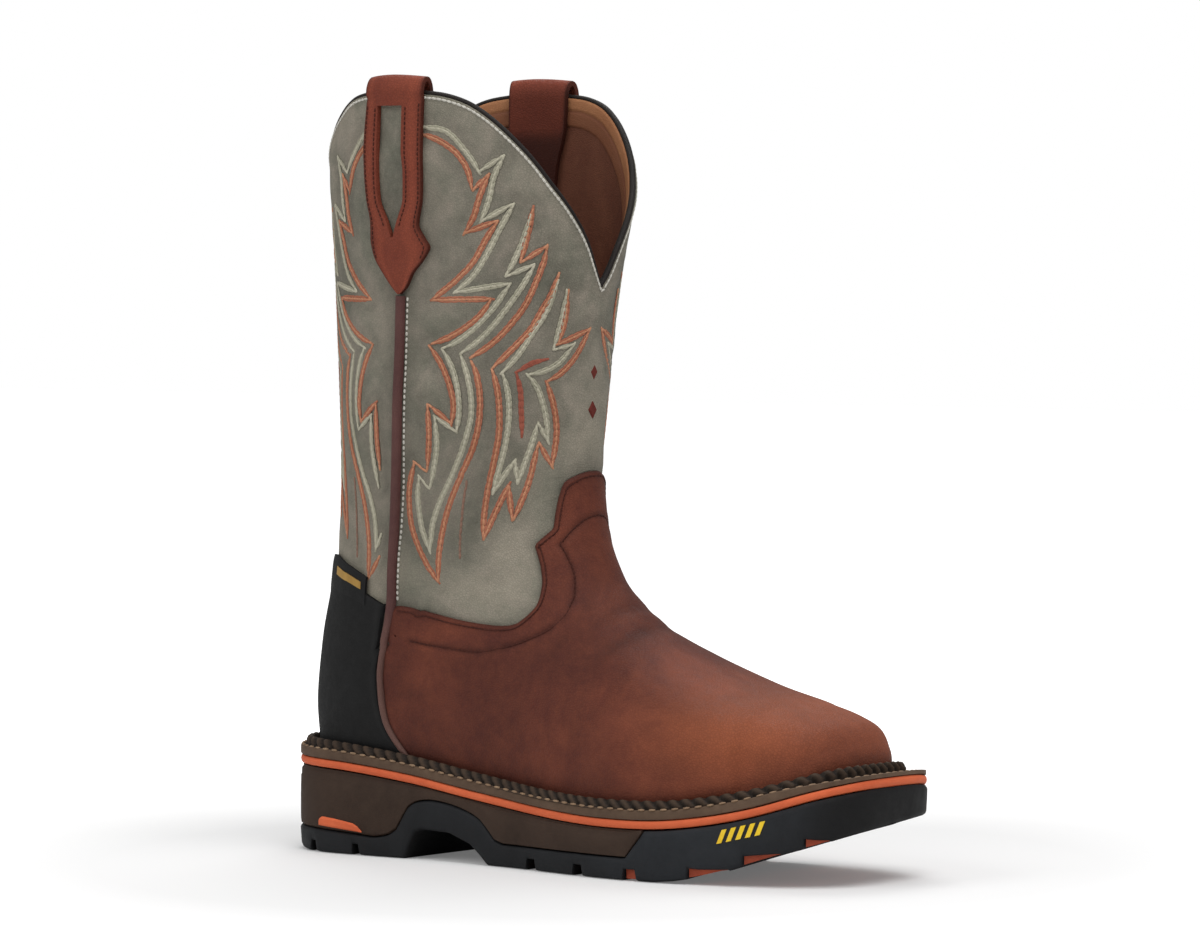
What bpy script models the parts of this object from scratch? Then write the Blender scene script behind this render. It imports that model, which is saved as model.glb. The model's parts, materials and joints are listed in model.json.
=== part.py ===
# Square toe pull-on work boot, right foot, standing on its sole.
# Sizes in the tables are millimetres measured from the heel end of the sole: x toward the toe,
# y toward the inner side, z up. MM turns them into metres and SHIFT_X centres the boot on the origin.
import bpy
import numpy as np

MM = 0.001
SHIFT_X = -157.2
GAP = 0.3
FOOT_GAP = 0.9

# Sole plan
SOLE_HEEL_X = 2.5
SOLE_TOE_X = 312.0
HEEL_ROUND_SHARE = 0.125
HEEL_ROUND_POWER = 2.25
TOE_ROUND_SHARE = 0.86
TOE_ROUND_POWER = 3.2
# share of length, outer half width, inner half width
PLAN = np.array([
    (0.00, 36.0, 36.0),
    (0.14, 38.0, 38.0),
    (0.30, 38.5, 37.0),
    (0.45, 43.0, 38.0),
    (0.56, 50.5, 43.5),
    (0.64, 55.0, 49.5),
    (0.72, 56.0, 53.0),
    (0.82, 52.0, 52.5),
    (0.92, 45.0, 48.0),
    (1.00, 40.0, 44.0),
])
# x, height of the welt's underside
RISE = np.array([
    (0, 42.0),
    (45, 40.5),
    (80, 37.0),
    (120, 31.5),
    (160, 27.3),
    (200, 25.5),
    (235, 26.6),
    (270, 32.5),
    (300, 41.5),
    (312, 45.0),
])

# Sole layers
LINE_THICK = 3.7
PAD_THICK = 9.5
HEEL_PAD_THICK = 8.5
ARCH_HOLLOW = 14.5
ARCH_PLATE = 8.0
GROOVE_DEPTH = 4.6
GROOVE_DRAFT = 0.9
INLAY_THICK = 1.4
SOLE_STATIONS = 44
END_SHARE = 0.1
# x, height of the outsole's underside along the middle before the grooves, rise towards the inner side
UNDER = np.array([
    (0, 5.0, 0.0),
    (15, 0.0, 0.0),
    (79, 0.0, 0.0),
    (88, ARCH_HOLLOW, 0.0),
    (112, ARCH_HOLLOW, 0.0),
    (124, 0.0, 0.0),
    (211.25, 0.0, 0.0),
    (218.75, 1.5, 0.028),
    (226, 2.6, 0.048),
    (236, 4.5, 0.067),
    (248, 7.4, 0.086),
    (264, 11.5, 0.092),
    (282, 16.8, 0.083),
    (298, 21.3, 0.091),
    (312, 25.2, 0.085),
])
# x, height of the outsole's upper face under the midsole
OVER = np.array([
    (0, HEEL_PAD_THICK),
    (70, HEEL_PAD_THICK),
    (82, ARCH_HOLLOW + ARCH_PLATE),
    (114, ARCH_HOLLOW + ARCH_PLATE),
    (127, PAD_THICK),
    (213, PAD_THICK),
])
TOE_CAP_X = 223.0
# rear and front edge of each groove along the sole, depth at the front; the toe's are cut like saw teeth
GROOVES = np.array([
    (23.5, 28.5, GROOVE_DEPTH),
    (49.5, 54.5, GROOVE_DEPTH),
    (151.75, 158.25, GROOVE_DEPTH),
    (181.75, 188.25, GROOVE_DEPTH),
    (211.25, 218.75, GROOVE_DEPTH),
    (242.7, 262.6, 0.4),
    (267.7, 285.6, 0.4),
    (293.3, 303.4, 0.4),
])
INLAY_REACH = 0.6
INLAY_FROM_X = 140.0

# Welt: out from the upper's foot line, up from the midsole line; a third figure is the share of the swell
WELT_OUT = 3.2
WELT_LEDGE = 4.2
RIM_IN = 3.8
RIM_OUT = 6.1
RIM_TOP = 8.2
WELT_STATIONS = 34

# share of length, how far the upper swells out at the rim's top
SWELL = np.array([
    (0.00, 0.2),
    (0.08, 0.5),
    (0.18, 1.9),
    (0.38, 2.1),
    (0.52, 2.3),
    (0.60, 1.8),
    (0.68, 1.6),
    (0.75, 2.0),
    (0.81, 2.7),
    (0.88, 2.2),
    (0.94, 0.5),
    (1.00, 0.2),
])

# Foot line of the upper: heel x, toe x, narrower than the sole by
FOOT_HEEL_X = 10.5
FOOT_TOE_X = 296.0
FOOT_IN = 8.5
CORNER = 0.829
HEEL_ROW = 14
HALF_SAMPLES = 48
# Cross sections of the upper from the toe, round the heel and up the shaft:
# front x, front z, back x, back z, outer half width, inner half width, belly share, roundness power,
# bow of the toe, sideways lean of the ridge; before HEEL_ROW the back end lies on the foot line
ROWS = np.array([
    (296.0, 40.6, 296.0, 0.0, 0.0, 0.0, 0.45, 2.60, 9.0, 1.0),
    (295.7, 52.0, 296.0, 0.0, 0.0, 0.0, 0.45, 2.60, 9.0, 1.0),
    (293.2, 58.0, 294.5, 0.0, 0.0, 0.0, 0.45, 2.70, 8.8, 1.0),
    (288.2, 63.6, 290.0, 0.0, 0.0, 0.0, 0.45, 2.80, 7.8, 1.0),
    (277.0, 68.2, 280.0, 0.0, 0.0, 0.0, 0.43, 2.80, 5.5, 1.0),
    (259.3, 73.0, 262.0, 0.0, 43.0, 45.0, 0.42, 2.70, 3.0, 2.0),
    (234.0, 80.0, 234.0, 0.0, 49.2, 48.3, 0.40, 2.45, 1.0, 3.0),
    (206.8, 91.2, 202.0, 0.0, 49.5, 46.0, 0.38, 2.20, 0.0, 3.0),
    (181.5, 105.8, 164.0, 0.0, 43.5, 36.5, 0.36, 2.05, 0.0, 2.0),
    (163.0, 125.0, 118.0, 0.0, 37.0, 33.5, 0.38, 2.00, 0.0, 1.0),
    (156.6, 142.5, 78.0, 0.0, 35.5, 34.0, 0.40, 2.00, 0.0, 0.0),
    (155.2, 152.5, 46.0, 0.0, 35.5, 35.0, 0.42, 2.00, 0.0, 0.0),
    (154.7, 159.5, 24.0, 0.0, 36.5, 36.0, 0.43, 2.00, 0.0, 0.0),
    (154.4, 165.0, 13.5, 0.0, 37.0, 36.5, 0.44, 2.00, 0.0, 0.0),
    (154.2, 170.0, 10.5, 42.8, 37.5, 37.0, 0.45, 2.00, 0.0, 0.0),
    (154.1, 175.5, 9.3, 60.0, 38.5, 38.0, 0.46, 2.00, 0.0, 0.0),
    (153.9, 183.0, 12.8, 88.0, 40.5, 40.0, 0.48, 2.00, 0.0, 0.0),
    (153.8, 192.0, 19.5, 115.0, 43.0, 43.0, 0.49, 2.00, 0.0, 0.0),
    (153.9, 203.5, 23.2, 144.0, 46.0, 46.0, 0.50, 2.00, 0.0, 0.0),
    (154.6, 217.5, 24.6, 173.0, 48.5, 48.5, 0.50, 2.00, 0.0, 0.0),
    (156.6, 235.5, 24.0, 205.0, 50.0, 50.0, 0.50, 2.00, 0.0, 0.0),
    (161.2, 262.0, 22.5, 245.0, 51.5, 51.5, 0.50, 2.00, 0.0, 0.0),
    (168.8, 297.0, 19.6, 292.0, 52.5, 52.5, 0.50, 2.00, 0.0, 0.0),
    (176.5, 346.0, 17.8, 346.0, 53.5, 53.5, 0.50, 2.00, 0.0, 0.0),
])
WALL = 2.4
FOOT_LIFT = 0.9
SKIN_LOW = 1.25
SKIN_HIGH = 2.6
COUNTER_LOW = 1.3
COUNTER_HIGH = 2.6
PIPING_HIGH = 2.9
PIPING_WIDTH = 3.6
UPPER_COLUMNS = 32
UPPER_FOOT_ROWS = (0, 0.7, 1.5, 2.5, 3.6, 4.9, 6, 7, 8, 9, 10, 11, 12, 13, 14)
UPPER_SHAFT_ROWS = 13

# Lines on the upper, each a share of the way round from the front ridge to the foot line or back seam
# share round, height of the collar edge
COLLAR = np.array([
    (0.000, 249.0),
    (0.020, 254.0),
    (0.066, 268.5),
    (0.124, 283.0),
    (0.174, 294.0),
    (0.222, 305.0),
    (0.268, 314.0),
    (0.312, 321.5),
    (0.358, 327.5),
    (0.406, 331.0),
    (0.480, 333.0),
    (0.620, 333.0),
    (0.690, 330.0),
    (0.750, 323.0),
    (0.804, 315.0),
    (0.858, 306.0),
    (0.930, 297.0),
    (1.000, 293.0),
])
# share round, section row of the vamp's upper edge, from the front ridge to the side seam
VAMP = np.array([
    (0.000, 14.00),
    (0.024, 13.98),
    (0.058, 14.08),
    (0.086, 13.72),
    (0.106, 12.32),
    (0.134, 11.30),
    (0.190, 11.27),
    (0.212, 10.32),
    (0.248, 9.80),
    (0.312, 9.57),
    (0.406, 9.82),
    (0.434, 10.16),
    (0.446, 10.48),
    (0.467, 11.61),
    (0.474, 12.79),
    (0.490, 14.15),
    (0.521, 14.46),
    (0.540, 14.40),
])
VAMP_TONGUE = (0.0, 0.024, 0.0625, 0.086, 0.106, 0.134, 0.19, 0.212)
VAMP_TOE_ROWS = 10
VAMP_FOOT_ROW = 9.72
# share round, section row of the counter's top edge
COUNTER_TOP = np.array([
    (0.566, 15.13),
    (0.644, 15.85),
    (0.726, 16.43),
    (0.842, 16.98),
    (1.000, 17.15),
])
# share round, section row down the side seam, which parts the vamp from the counter below SEAM_CORNER
SEAM = np.array([
    (0.511, 20.80),
    (0.514, 20.10),
    (0.524, 19.20),
    (0.532, 18.35),
    (0.544, 16.95),
    (0.545, 15.80),
    (0.549, 14.95),
    (0.566, 14.33),
    (0.578, 14.07),
    (0.602, 13.83),
    (0.636, 12.97),
    (0.688, 12.22),
    (0.736, 11.70),
    (0.796, 11.25),
    (0.850, 10.87),
    (0.890, 10.58),
    (0.918, 10.38),
    (0.970, 10.05),
])
SEAM_CORNER = 6
PIPING_CLEAR = 3.1
BESIDE_STEPS = 8
# section rows on the back seam and heel foot line that face the seam's points, from the welt up
COUNTER_BACK_ROWS = (10.2, 10.8, 11.4, 12.0, 12.7, 13.3, 14.0, 14.6, 15.2, 15.8, 16.5, 17.15)
COUNTER_COLUMNS = 7
# Heel tab over the counter's top edge: share round where it ends, rows below and above that edge
TAB_END = 0.636
TAB_BELOW = 0.26
TAB_ABOVE = 0.36

# Pull strap: height, back edge, window back edge, window front edge, front edge, as shares round
STRAP = np.array([
    (249.5, 0.520, 0.514, 0.508, 0.502),
    (256.0, 0.566, 0.540, 0.500, 0.474),
    (262.0, 0.598, 0.552, 0.496, 0.450),
    (269.0, 0.608, 0.552, 0.498, 0.444),
    (277.0, 0.598, 0.545, 0.525, 0.470),
    (288.0, 0.608, 0.574, 0.506, 0.474),
    (309.0, 0.628, 0.592, 0.502, 0.462),
    (326.0, 0.632, 0.592, 0.500, 0.450),
])
WINDOW_ROWS = (4, 7)
STRAP_LOW = 0.5
STRAP_THICK = 2.2
STRAP_LOOP_RISE = 3.2
STRAP_INSIDE = (322.0, 300.0, 280.0, 262.0)

INSOLE_IN = 12.4
INSOLE_LOW = 0.4
INSOLE_THICK = 4.0
BINDING_RADIUS = 1.7

# name, red, green, blue, roughness
COLOURS = {
    "shaft_leather": (0.27, 0.25, 0.22, 0.65),
    "vamp_leather": (0.16, 0.055, 0.032, 0.55),
    "counter_leather": (0.017, 0.017, 0.018, 0.6),
    "strap_leather": (0.21, 0.055, 0.03, 0.55),
    "binding_leather": (0.07, 0.035, 0.028, 0.6),
    "insole_board": (0.12, 0.07, 0.04, 0.8),
    "welt_rubber": (0.07, 0.05, 0.038, 0.6),
    "orange_rubber": (0.62, 0.13, 0.045, 0.55),
    "brown_rubber": (0.048, 0.033, 0.024, 0.6),
    "black_rubber": (0.014, 0.015, 0.018, 0.6),
}


def smooth(xs, ys, at):
    """Cubic through the table with slopes from neighbouring points."""
    slope = np.gradient(ys, xs)
    return hermite(xs, ys, slope, at)


def steady(xs, ys, at):
    """Cubic through the table that never overshoots."""
    step = np.diff(xs)
    rate = np.diff(ys) / step
    slope = np.zeros(len(xs))
    slope[0] = rate[0]
    slope[-1] = rate[-1]
    before = 2 * step[1:] + step[:-1]
    after = step[1:] + 2 * step[:-1]
    same = rate[:-1] * rate[1:] > 0
    inner = np.zeros(len(xs) - 2)
    inner[same] = (before + after)[same] / (before[same] / rate[:-1][same] + after[same] / rate[1:][same])
    slope[1:-1] = inner
    return hermite(xs, ys, slope, at)


def hermite(xs, ys, slope, at):
    step = np.diff(xs)
    at = np.clip(at, xs[0], xs[-1])
    k = np.clip(np.searchsorted(xs, at, side="right") - 1, 0, len(xs) - 2)
    t = (at - xs[k]) / step[k]
    ends = ys[k] * (1 + 2 * t) * (1 - t) ** 2 + ys[k + 1] * t * t * (3 - 2 * t)
    return ends + step[k] * (slope[k] * t * (1 - t) ** 2 - slope[k + 1] * t * t * (1 - t))


def rise(x):
    return smooth(RISE[:, 0], RISE[:, 1], x)


def half_width(share, side, grow):
    share = np.clip(share, 0.0, 1.0)
    width = smooth(PLAN[:, 0], PLAN[:, 1 if side < 0 else 2], share) + grow
    heel = np.clip(1 - share / HEEL_ROUND_SHARE, 0, 1)
    toe = np.clip((share - TOE_ROUND_SHARE) / (1 - TOE_ROUND_SHARE), 0, 1)
    heel_fall = (1 - heel ** HEEL_ROUND_POWER) ** (1 / HEEL_ROUND_POWER)
    toe_fall = (1 - toe ** TOE_ROUND_POWER) ** (1 / TOE_ROUND_POWER)
    return width * heel_fall * toe_fall


def foot_line(x, side):
    share = (x - FOOT_HEEL_X) / (FOOT_TOE_X - FOOT_HEEL_X)
    return half_width(share, side, -FOOT_IN)


def bowed(across):
    p = TOE_ROUND_POWER
    q = np.clip(np.abs(across), 0, 1) * CORNER
    return (1 - (1 - q ** p) ** (1 / p)) / (1 - (1 - CORNER ** p) ** (1 / p))


def half_sections(rows, side):
    """Finely sampled half sections from the front ridge to the foot line or back seam."""
    index = np.arange(len(ROWS), dtype=float)
    cols = [steady(index, ROWS[:, k], rows)[:, None] for k in range(ROWS.shape[1])]
    front_x, front_z, back_x, back_z = cols[:4]
    width = cols[4] if side < 0 else cols[5]
    belly, power, bow, lean = cols[6:]
    foot = (rows < HEEL_ROW)[:, None]
    back_z = np.where(foot, rise(back_x) + FOOT_GAP, back_z)
    front_z = np.maximum(front_z, back_z)
    base = np.where(foot, foot_line(back_x - bow, side), 0.0)
    width = np.maximum(width, base + 0.25)
    turn = np.linspace(0, np.pi / 2, HALF_SAMPLES)[None, :]
    high_h = belly + (1 - belly) * np.cos(turn) ** (2 / power)
    high_y = width * np.sin(turn) ** (2 / power)
    low = belly / np.sqrt(1 - (base / width) ** 2)
    down = np.linspace(0, 1, HALF_SAMPLES + 1)[None, 1:] * np.arcsin(np.clip(belly / low, 0, 1))
    low_h = belly - low * np.sin(down)
    low_y = width * np.cos(down)
    h = np.concatenate([high_h, low_h], 1)
    y = np.concatenate([high_y, low_y], 1)
    x = back_x + (front_x - back_x) * h - bow * bowed(y / np.maximum(base, 1e-6))
    z = back_z + (front_z - back_z) * h
    z = z + np.where(foot, (rise(x) - rise(back_x)) * (1 - h), 0.0)
    return np.stack([x, side * y + lean * h * h, z], -1)


def upper_points(rows, rounds):
    """Points of the upper's outer face at section rows and signed shares round."""
    rows, rounds = np.broadcast_arrays(np.asarray(rows, float), np.asarray(rounds, float))
    shape = rows.shape
    rows = rows.ravel()
    rounds = rounds.ravel()
    out = np.zeros((len(rows), 3))
    for side in (-1, 1):
        mine = rounds < 0 if side < 0 else rounds >= 0
        if not mine.any():
            continue
        levels, back = np.unique(rows[mine], return_inverse=True)
        line = half_sections(levels, side)
        run = np.linalg.norm(np.diff(line, axis=1), axis=2).cumsum(1)
        run = np.concatenate([np.zeros((len(levels), 1)), run], 1)
        run = (run / run[:, -1:])[back]
        want = np.abs(rounds[mine])
        k = np.clip((run <= want[:, None]).sum(1) - 1, 0, run.shape[1] - 2)
        n = np.arange(len(want))
        t = (want - run[n, k]) / np.maximum(run[n, k + 1] - run[n, k], 1e-9)
        out[mine] = line[back, k] * (1 - t)[:, None] + line[back, k + 1] * t[:, None]
    return out.reshape(shape + (3,))


def upper_normals(rows, rounds):
    step = 0.02
    rows, rounds = np.broadcast_arrays(np.asarray(rows, float), np.asarray(rounds, float))
    inward = np.where(np.abs(rounds) > 0.97, np.sign(rounds) * step * 2, 0.0)
    up = upper_points(rows + step, rounds - inward) - upper_points(rows - step, rounds - inward)
    over = upper_points(rows, rounds - inward + step) - upper_points(rows, rounds - inward - step)
    normal = np.cross(over, up)
    return normal / np.linalg.norm(normal, axis=-1, keepdims=True)


def row_at_height(rounds, height):
    """Section row at which the upper reaches a height, by halving."""
    rounds = np.asarray(rounds, float)
    low = np.full(rounds.shape, float(HEEL_ROW + 3))
    high = np.full(rounds.shape, float(len(ROWS) - 1))
    for _ in range(40):
        mid = (low + high) / 2
        below = upper_points(mid, rounds)[..., 2] < height
        low = np.where(below, mid, low)
        high = np.where(below, high, mid)
    return (low + high) / 2


def collar_height(rounds):
    return smooth(COLLAR[:, 0], COLLAR[:, 1], np.abs(rounds))


def weld(quads):
    """Shared vertices and clean faces from loose quads."""
    keys = {}
    points = []
    faces = []
    for quad in quads:
        face = []
        for p in quad:
            key = tuple(np.round(np.asarray(p) * 500).astype(int))
            if key not in keys:
                keys[key] = len(points)
                points.append(np.asarray(p, float))
            if keys[key] not in face:
                face.append(keys[key])
        if len(face) > 2:
            faces.append(face)
    return np.array(points), faces


def grid_quads(grid):
    quads = []
    for i in range(len(grid) - 1):
        for j in range(len(grid[0]) - 1):
            quads.append((grid[i][j], grid[i][j + 1], grid[i + 1][j + 1], grid[i + 1][j]))
    return quads


def point_normals(points, faces):
    normals = np.zeros_like(points)
    for face in faces:
        a = points[face[0]]
        b = points[face[1]]
        c = points[face[2]]
        spread = np.cross(b - a, c - a)
        if len(face) == 4:
            spread = spread + np.cross(c - a, points[face[3]] - a)
        for k in face:
            normals[k] += spread
    return normals / np.maximum(np.linalg.norm(normals, axis=1, keepdims=True), 1e-12)


def add_solid(name, points, faces, colour, home):
    mesh = bpy.data.meshes.new(name)
    placed = (np.asarray(points) + np.array([SHIFT_X, 0.0, 0.0])) * MM
    mesh.from_pydata([tuple(p) for p in placed], [], [tuple(f) for f in faces])
    mesh.validate()
    mesh.update()
    piece = bpy.data.objects.new(name, mesh)
    home.objects.link(piece)
    mesh.materials.append(paint(colour))
    return piece


def paint(name):
    found = bpy.data.materials.get(name)
    if found:
        return found
    red, green, blue, rough = COLOURS[name]
    material = bpy.data.materials.new(name)
    material.use_nodes = True
    shader = material.node_tree.nodes["Principled BSDF"]
    shader.inputs["Base Color"].default_value = (red, green, blue, 1.0)
    shader.inputs["Roughness"].default_value = rough
    return material


def add_shell(name, quads, low, high, colour, home):
    """Closed sheet between two offsets of an open surface along its own normals."""
    points, faces = weld(quads)
    normals = point_normals(points, faces)
    count = len(points)
    both = np.concatenate([points + normals * high, points + normals * low])
    solid = [list(f) for f in faces]
    solid += [[k + count for k in reversed(f)] for f in faces]
    edges = {}
    for face in faces:
        for a, b in zip(face, face[1:] + face[:1]):
            edges[(a, b)] = True
    for a, b in edges:
        if (b, a) not in edges:
            solid.append([b, a, a + count, b + count])
    return add_solid(name, both, solid, colour, home)


def upper_quads():
    rounds = np.linspace(-1, 1, UPPER_COLUMNS + 1)
    foot = np.array(UPPER_FOOT_ROWS, float)
    top = row_at_height(rounds, collar_height(rounds))
    climb = np.linspace(0, 1, UPPER_SHAFT_ROWS + 1)[1:, None]
    shaft = HEEL_ROW + (top[None, :] - HEEL_ROW) * climb
    rows = np.concatenate([np.repeat(foot[:, None], len(rounds), 1), shaft])
    return grid_quads(upper_points(rows, rounds[None, :]))


def beside(rows, shares, distance):
    """Rows and shares of a line moved sideways over the upper in small steps, to its left looking along it."""
    along = np.gradient(upper_points(rows, shares), axis=0)
    for _ in range(BESIDE_STEPS):
        by_row = (upper_points(rows + 0.02, shares) - upper_points(rows - 0.02, shares)) / 0.04
        by_share = (upper_points(rows, shares + 0.01) - upper_points(rows, shares - 0.01)) / 0.02
        across = np.cross(np.cross(by_share, by_row), along)
        across = across * distance / BESIDE_STEPS / np.linalg.norm(across, axis=1, keepdims=True)
        moved = [np.linalg.lstsq(np.stack(pair, 1), want, rcond=None)[0]
                 for *pair, want in zip(by_row, by_share, across)]
        rows = rows + np.array(moved)[:, 0]
        shares = shares + np.array(moved)[:, 1]
    return rows, shares


def vamp_quads():
    rear = SEAM[SEAM_CORNER + 2:]
    rows, shares = beside(rear[:, 1], rear[:, 0], -PIPING_CLEAR)
    line_shares = np.concatenate([VAMP[:, 0], shares, [1.0]])
    line_rows = np.concatenate([VAMP[:, 1], rows, [VAMP_FOOT_ROW]])
    shares = np.concatenate([VAMP_TONGUE, np.arange(4, UPPER_COLUMNS / 2 + 1) / (UPPER_COLUMNS / 2), [0.54]])
    shares = np.unique(shares)
    rounds = np.concatenate([-shares[::-1], shares[1:]])
    edge = np.interp(np.abs(rounds), line_shares, line_rows)
    toe = np.array(UPPER_FOOT_ROWS[:VAMP_TOE_ROWS], float)
    climb = np.array([0.33, 0.67, 1.0])[:, None]
    body = toe[-1] + (edge[None, :] - toe[-1]) * climb
    rows = np.concatenate([np.repeat(toe[:, None], len(rounds), 1), body])
    return grid_quads(lifted(upper_points(rows, rounds[None, :])))


def counter_quads():
    """Rows run from the side seam round to the foot line and back seam."""
    front = SEAM[:SEAM_CORNER - 1:-1]
    rows, shares = beside(front[:, 1], front[:, 0], -PIPING_CLEAR)
    back = np.array(COUNTER_BACK_ROWS, float)
    run = np.linspace(0, 1, COUNTER_COLUMNS + 1)[None, :]
    across = shares[:, None] + (1 - shares[:, None]) * run
    level = rows[:, None] + (back[:, None] - rows[:, None]) * run
    top = np.interp(across[-1], COUNTER_TOP[:, 0], COUNTER_TOP[:, 1])
    level[-1] = top
    quads = []
    for side in (-1, 1):
        grid = lifted(upper_points(level, side * across))
        quads += grid_quads(grid if side > 0 else grid[:, ::-1])
    return quads


def lifted(points):
    """Raise the foot edge of an overlay clear of the midsole line."""
    points = np.array(points)
    above = np.maximum(points[..., 2] - rise(points[..., 0]), 0.0)
    points[..., 2] += FOOT_LIFT * np.exp(-above / 5.0)
    return points


def flip(quads):
    return [tuple(reversed(q)) for q in quads]


def piping_quads(side):
    shares, rows = SEAM.T
    line = upper_points(rows, side * shares)
    normals = upper_normals(rows, side * shares)
    along = np.gradient(line, axis=0)
    along = along / np.linalg.norm(along, axis=1, keepdims=True)
    across = np.cross(along, normals)
    across = across / np.linalg.norm(across, axis=1, keepdims=True)
    grid = [line + across * PIPING_WIDTH * k for k in (0.5, 0.0, -0.5)]
    return grid_quads(grid)


def strap_quads(side):
    """Sheet from the spade tip up the outside, over the collar and down the inside."""
    columns = (1, 2, 3, 4)
    shares = STRAP[:, columns]
    shares = np.stack([shares[:, 0], (shares[:, 0] + shares[:, 1]) / 2, shares[:, 1],
                       (shares[:, 1] + shares[:, 2]) / 2, shares[:, 2],
                       (shares[:, 2] + shares[:, 3]) / 2, shares[:, 3]], 1)
    sheet = []
    for height, round_row in zip(STRAP[:, 0], shares):
        rows = row_at_height(round_row, height)
        sheet.append(upper_points(rows, side * round_row) + upper_normals(rows, side * round_row) * STRAP_LOW)
    last = shares[-1]
    rim_rows = row_at_height(last, collar_height(last))
    rim = upper_points(rim_rows, side * last)
    out = upper_normals(rim_rows, side * last)
    middle = rim - out * WALL / 2
    reach = WALL / 2 + STRAP_LOW
    lift = BINDING_RADIUS * 2 + STRAP_LOOP_RISE
    for turn in np.radians((0, 40, 70, 110, 140, 180)):
        lie = out * np.cos(turn) * (reach + 0.9) + np.array([0, 0, 1.0]) * (np.sin(turn) * lift - 1.0)
        sheet.append(middle + lie)
    inside = last * 0.75 + np.mean(last) * 0.25
    for height in STRAP_INSIDE:
        rows = row_at_height(inside, height)
        depth = upper_normals(rows, side * inside) * (WALL + STRAP_LOW + 0.4)
        sheet.append(upper_points(rows, side * inside) - depth)
    quads = []
    for i in range(len(sheet) - 1):
        for j in range(6):
            hole = WINDOW_ROWS[0] <= i < WINDOW_ROWS[1] and 2 <= j < 4
            if not hole:
                quads.append((sheet[i][j], sheet[i][j + 1], sheet[i + 1][j + 1], sheet[i + 1][j]))
    return quads if side < 0 else flip(quads)


def add_ring(name, loops, colour, home):
    """Closed ring from loops of equal count, each loop one line of its profile."""
    count = len(loops[0])
    points = np.concatenate(loops)
    faces = []
    for k in range(len(loops)):
        nxt = (k + 1) % len(loops)
        for i in range(count):
            j = (i + 1) % count
            faces.append([k * count + i, k * count + j, nxt * count + j, nxt * count + i])
    return add_solid(name, points, faces, colour, home)


def binding_loops():
    rounds = np.linspace(-1, 1, 49)[:-1]
    rows = row_at_height(rounds, collar_height(rounds))
    rim = upper_points(rows, rounds)
    out = upper_normals(rows, rounds)
    ahead = np.roll(rim, -1, 0) - np.roll(rim, 1, 0)
    ahead = ahead / np.linalg.norm(ahead, axis=1, keepdims=True)
    up = np.cross(ahead, out)
    up = up * np.sign(up[:, 2:3])
    up = up / np.linalg.norm(up, axis=1, keepdims=True)
    middle = rim - out * WALL / 2 + up * (BINDING_RADIUS + 0.55)
    loops = []
    for turn in np.radians(np.arange(0, 360, 72)):
        loops.append(middle + out * np.cos(turn) * BINDING_RADIUS + up * np.sin(turn) * BINDING_RADIUS)
    return loops


def end_spaced(count):
    return (1 - np.cos(np.linspace(0, np.pi, count))) / 2


def welt_loops():
    shares = end_spaced(WELT_STATIONS)
    profile = (
        (WELT_OUT, 0.0, 0.3),
        (FOOT_IN, 0.0, 0.0),
        (FOOT_IN, WELT_LEDGE - 0.5, 0.0),
        (FOOT_IN - 0.5, WELT_LEDGE, 0.0),
        (RIM_OUT, WELT_LEDGE, 0.85),
        (RIM_OUT - 0.6, RIM_TOP, 1.0),
        (RIM_IN, RIM_TOP, 1.0),
    )
    loops = []
    swell = np.interp(shares, SWELL[:, 0], SWELL[:, 1])
    for out, up, lean in profile:
        heel_x = FOOT_HEEL_X - out
        toe_x = FOOT_TOE_X + np.interp(out, (0, RIM_OUT, FOOT_IN), (0, RIM_OUT, SOLE_TOE_X - FOOT_TOE_X))
        x = heel_x + (toe_x - heel_x) * shares
        grow = out - FOOT_IN + swell * lean
        outer = np.stack([x, -half_width(shares, -1, grow), rise(x) + GAP + up], 1)
        inner = np.stack([x, half_width(shares, 1, grow), rise(x) + GAP + up], 1)
        loops.append(np.concatenate([outer, inner[-2:0:-1]]))
    return loops


def sole_shares(extra_x):
    span = SOLE_TOE_X - SOLE_HEEL_X
    extra = (np.asarray(extra_x, float) - SOLE_HEEL_X) / span
    plain = end_spaced(SOLE_STATIONS)
    far = [s for s in plain if np.min(np.abs(extra - s)) > 0.006 or s in (0.0, 1.0)]
    return np.unique(np.concatenate([far, extra]))


def add_layer(name, shares, floor, roof, sides, colour, home):
    """Sole layer between two heights over x and y; sides lists (share from the roof down, growth of the outline)."""
    rings = []
    ends = np.maximum(shares / END_SHARE - 1 / END_SHARE + 1, 0) - np.maximum(1 - shares / END_SHARE, 0)
    x = station_x(shares)
    for down, grow in sides:
        pair = []
        for side in (-1, 1):
            y = side * half_width(shares, side, 0.0)
            z = roof(x, y) + (floor(x, y) - roof(x, y)) * down
            pair.append(np.stack([x + grow * ends, side * half_width(shares, side, grow), z], 1))
        rings.append(pair)
    quads = []
    count = len(shares)
    for i in range(count - 1):
        top_out, top_in = rings[0]
        low_out, low_in = rings[-1]
        quads.append((top_out[i], top_out[i + 1], top_in[i + 1], top_in[i]))
        quads.append((low_out[i], low_in[i], low_in[i + 1], low_out[i + 1]))
        for (out_a, in_a), (out_b, in_b) in zip(rings, rings[1:]):
            quads.append((out_a[i], out_b[i], out_b[i + 1], out_a[i + 1]))
            quads.append((in_a[i], in_a[i + 1], in_b[i + 1], in_b[i]))
    for end in (0, count - 1):
        for (out_a, in_a), (out_b, in_b) in zip(rings, rings[1:]):
            cap = (out_a[end], in_a[end], in_b[end], out_b[end])
            quads.append(cap if end == 0 else tuple(reversed(cap)))
    points, faces = weld(quads)
    return add_solid(name, points, faces, colour, home)


def under_height(x, y):
    middle = np.interp(x, UNDER[:, 0], UNDER[:, 1])
    return np.maximum(middle + y * np.interp(x, UNDER[:, 0], UNDER[:, 2]), 0.0)


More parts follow.
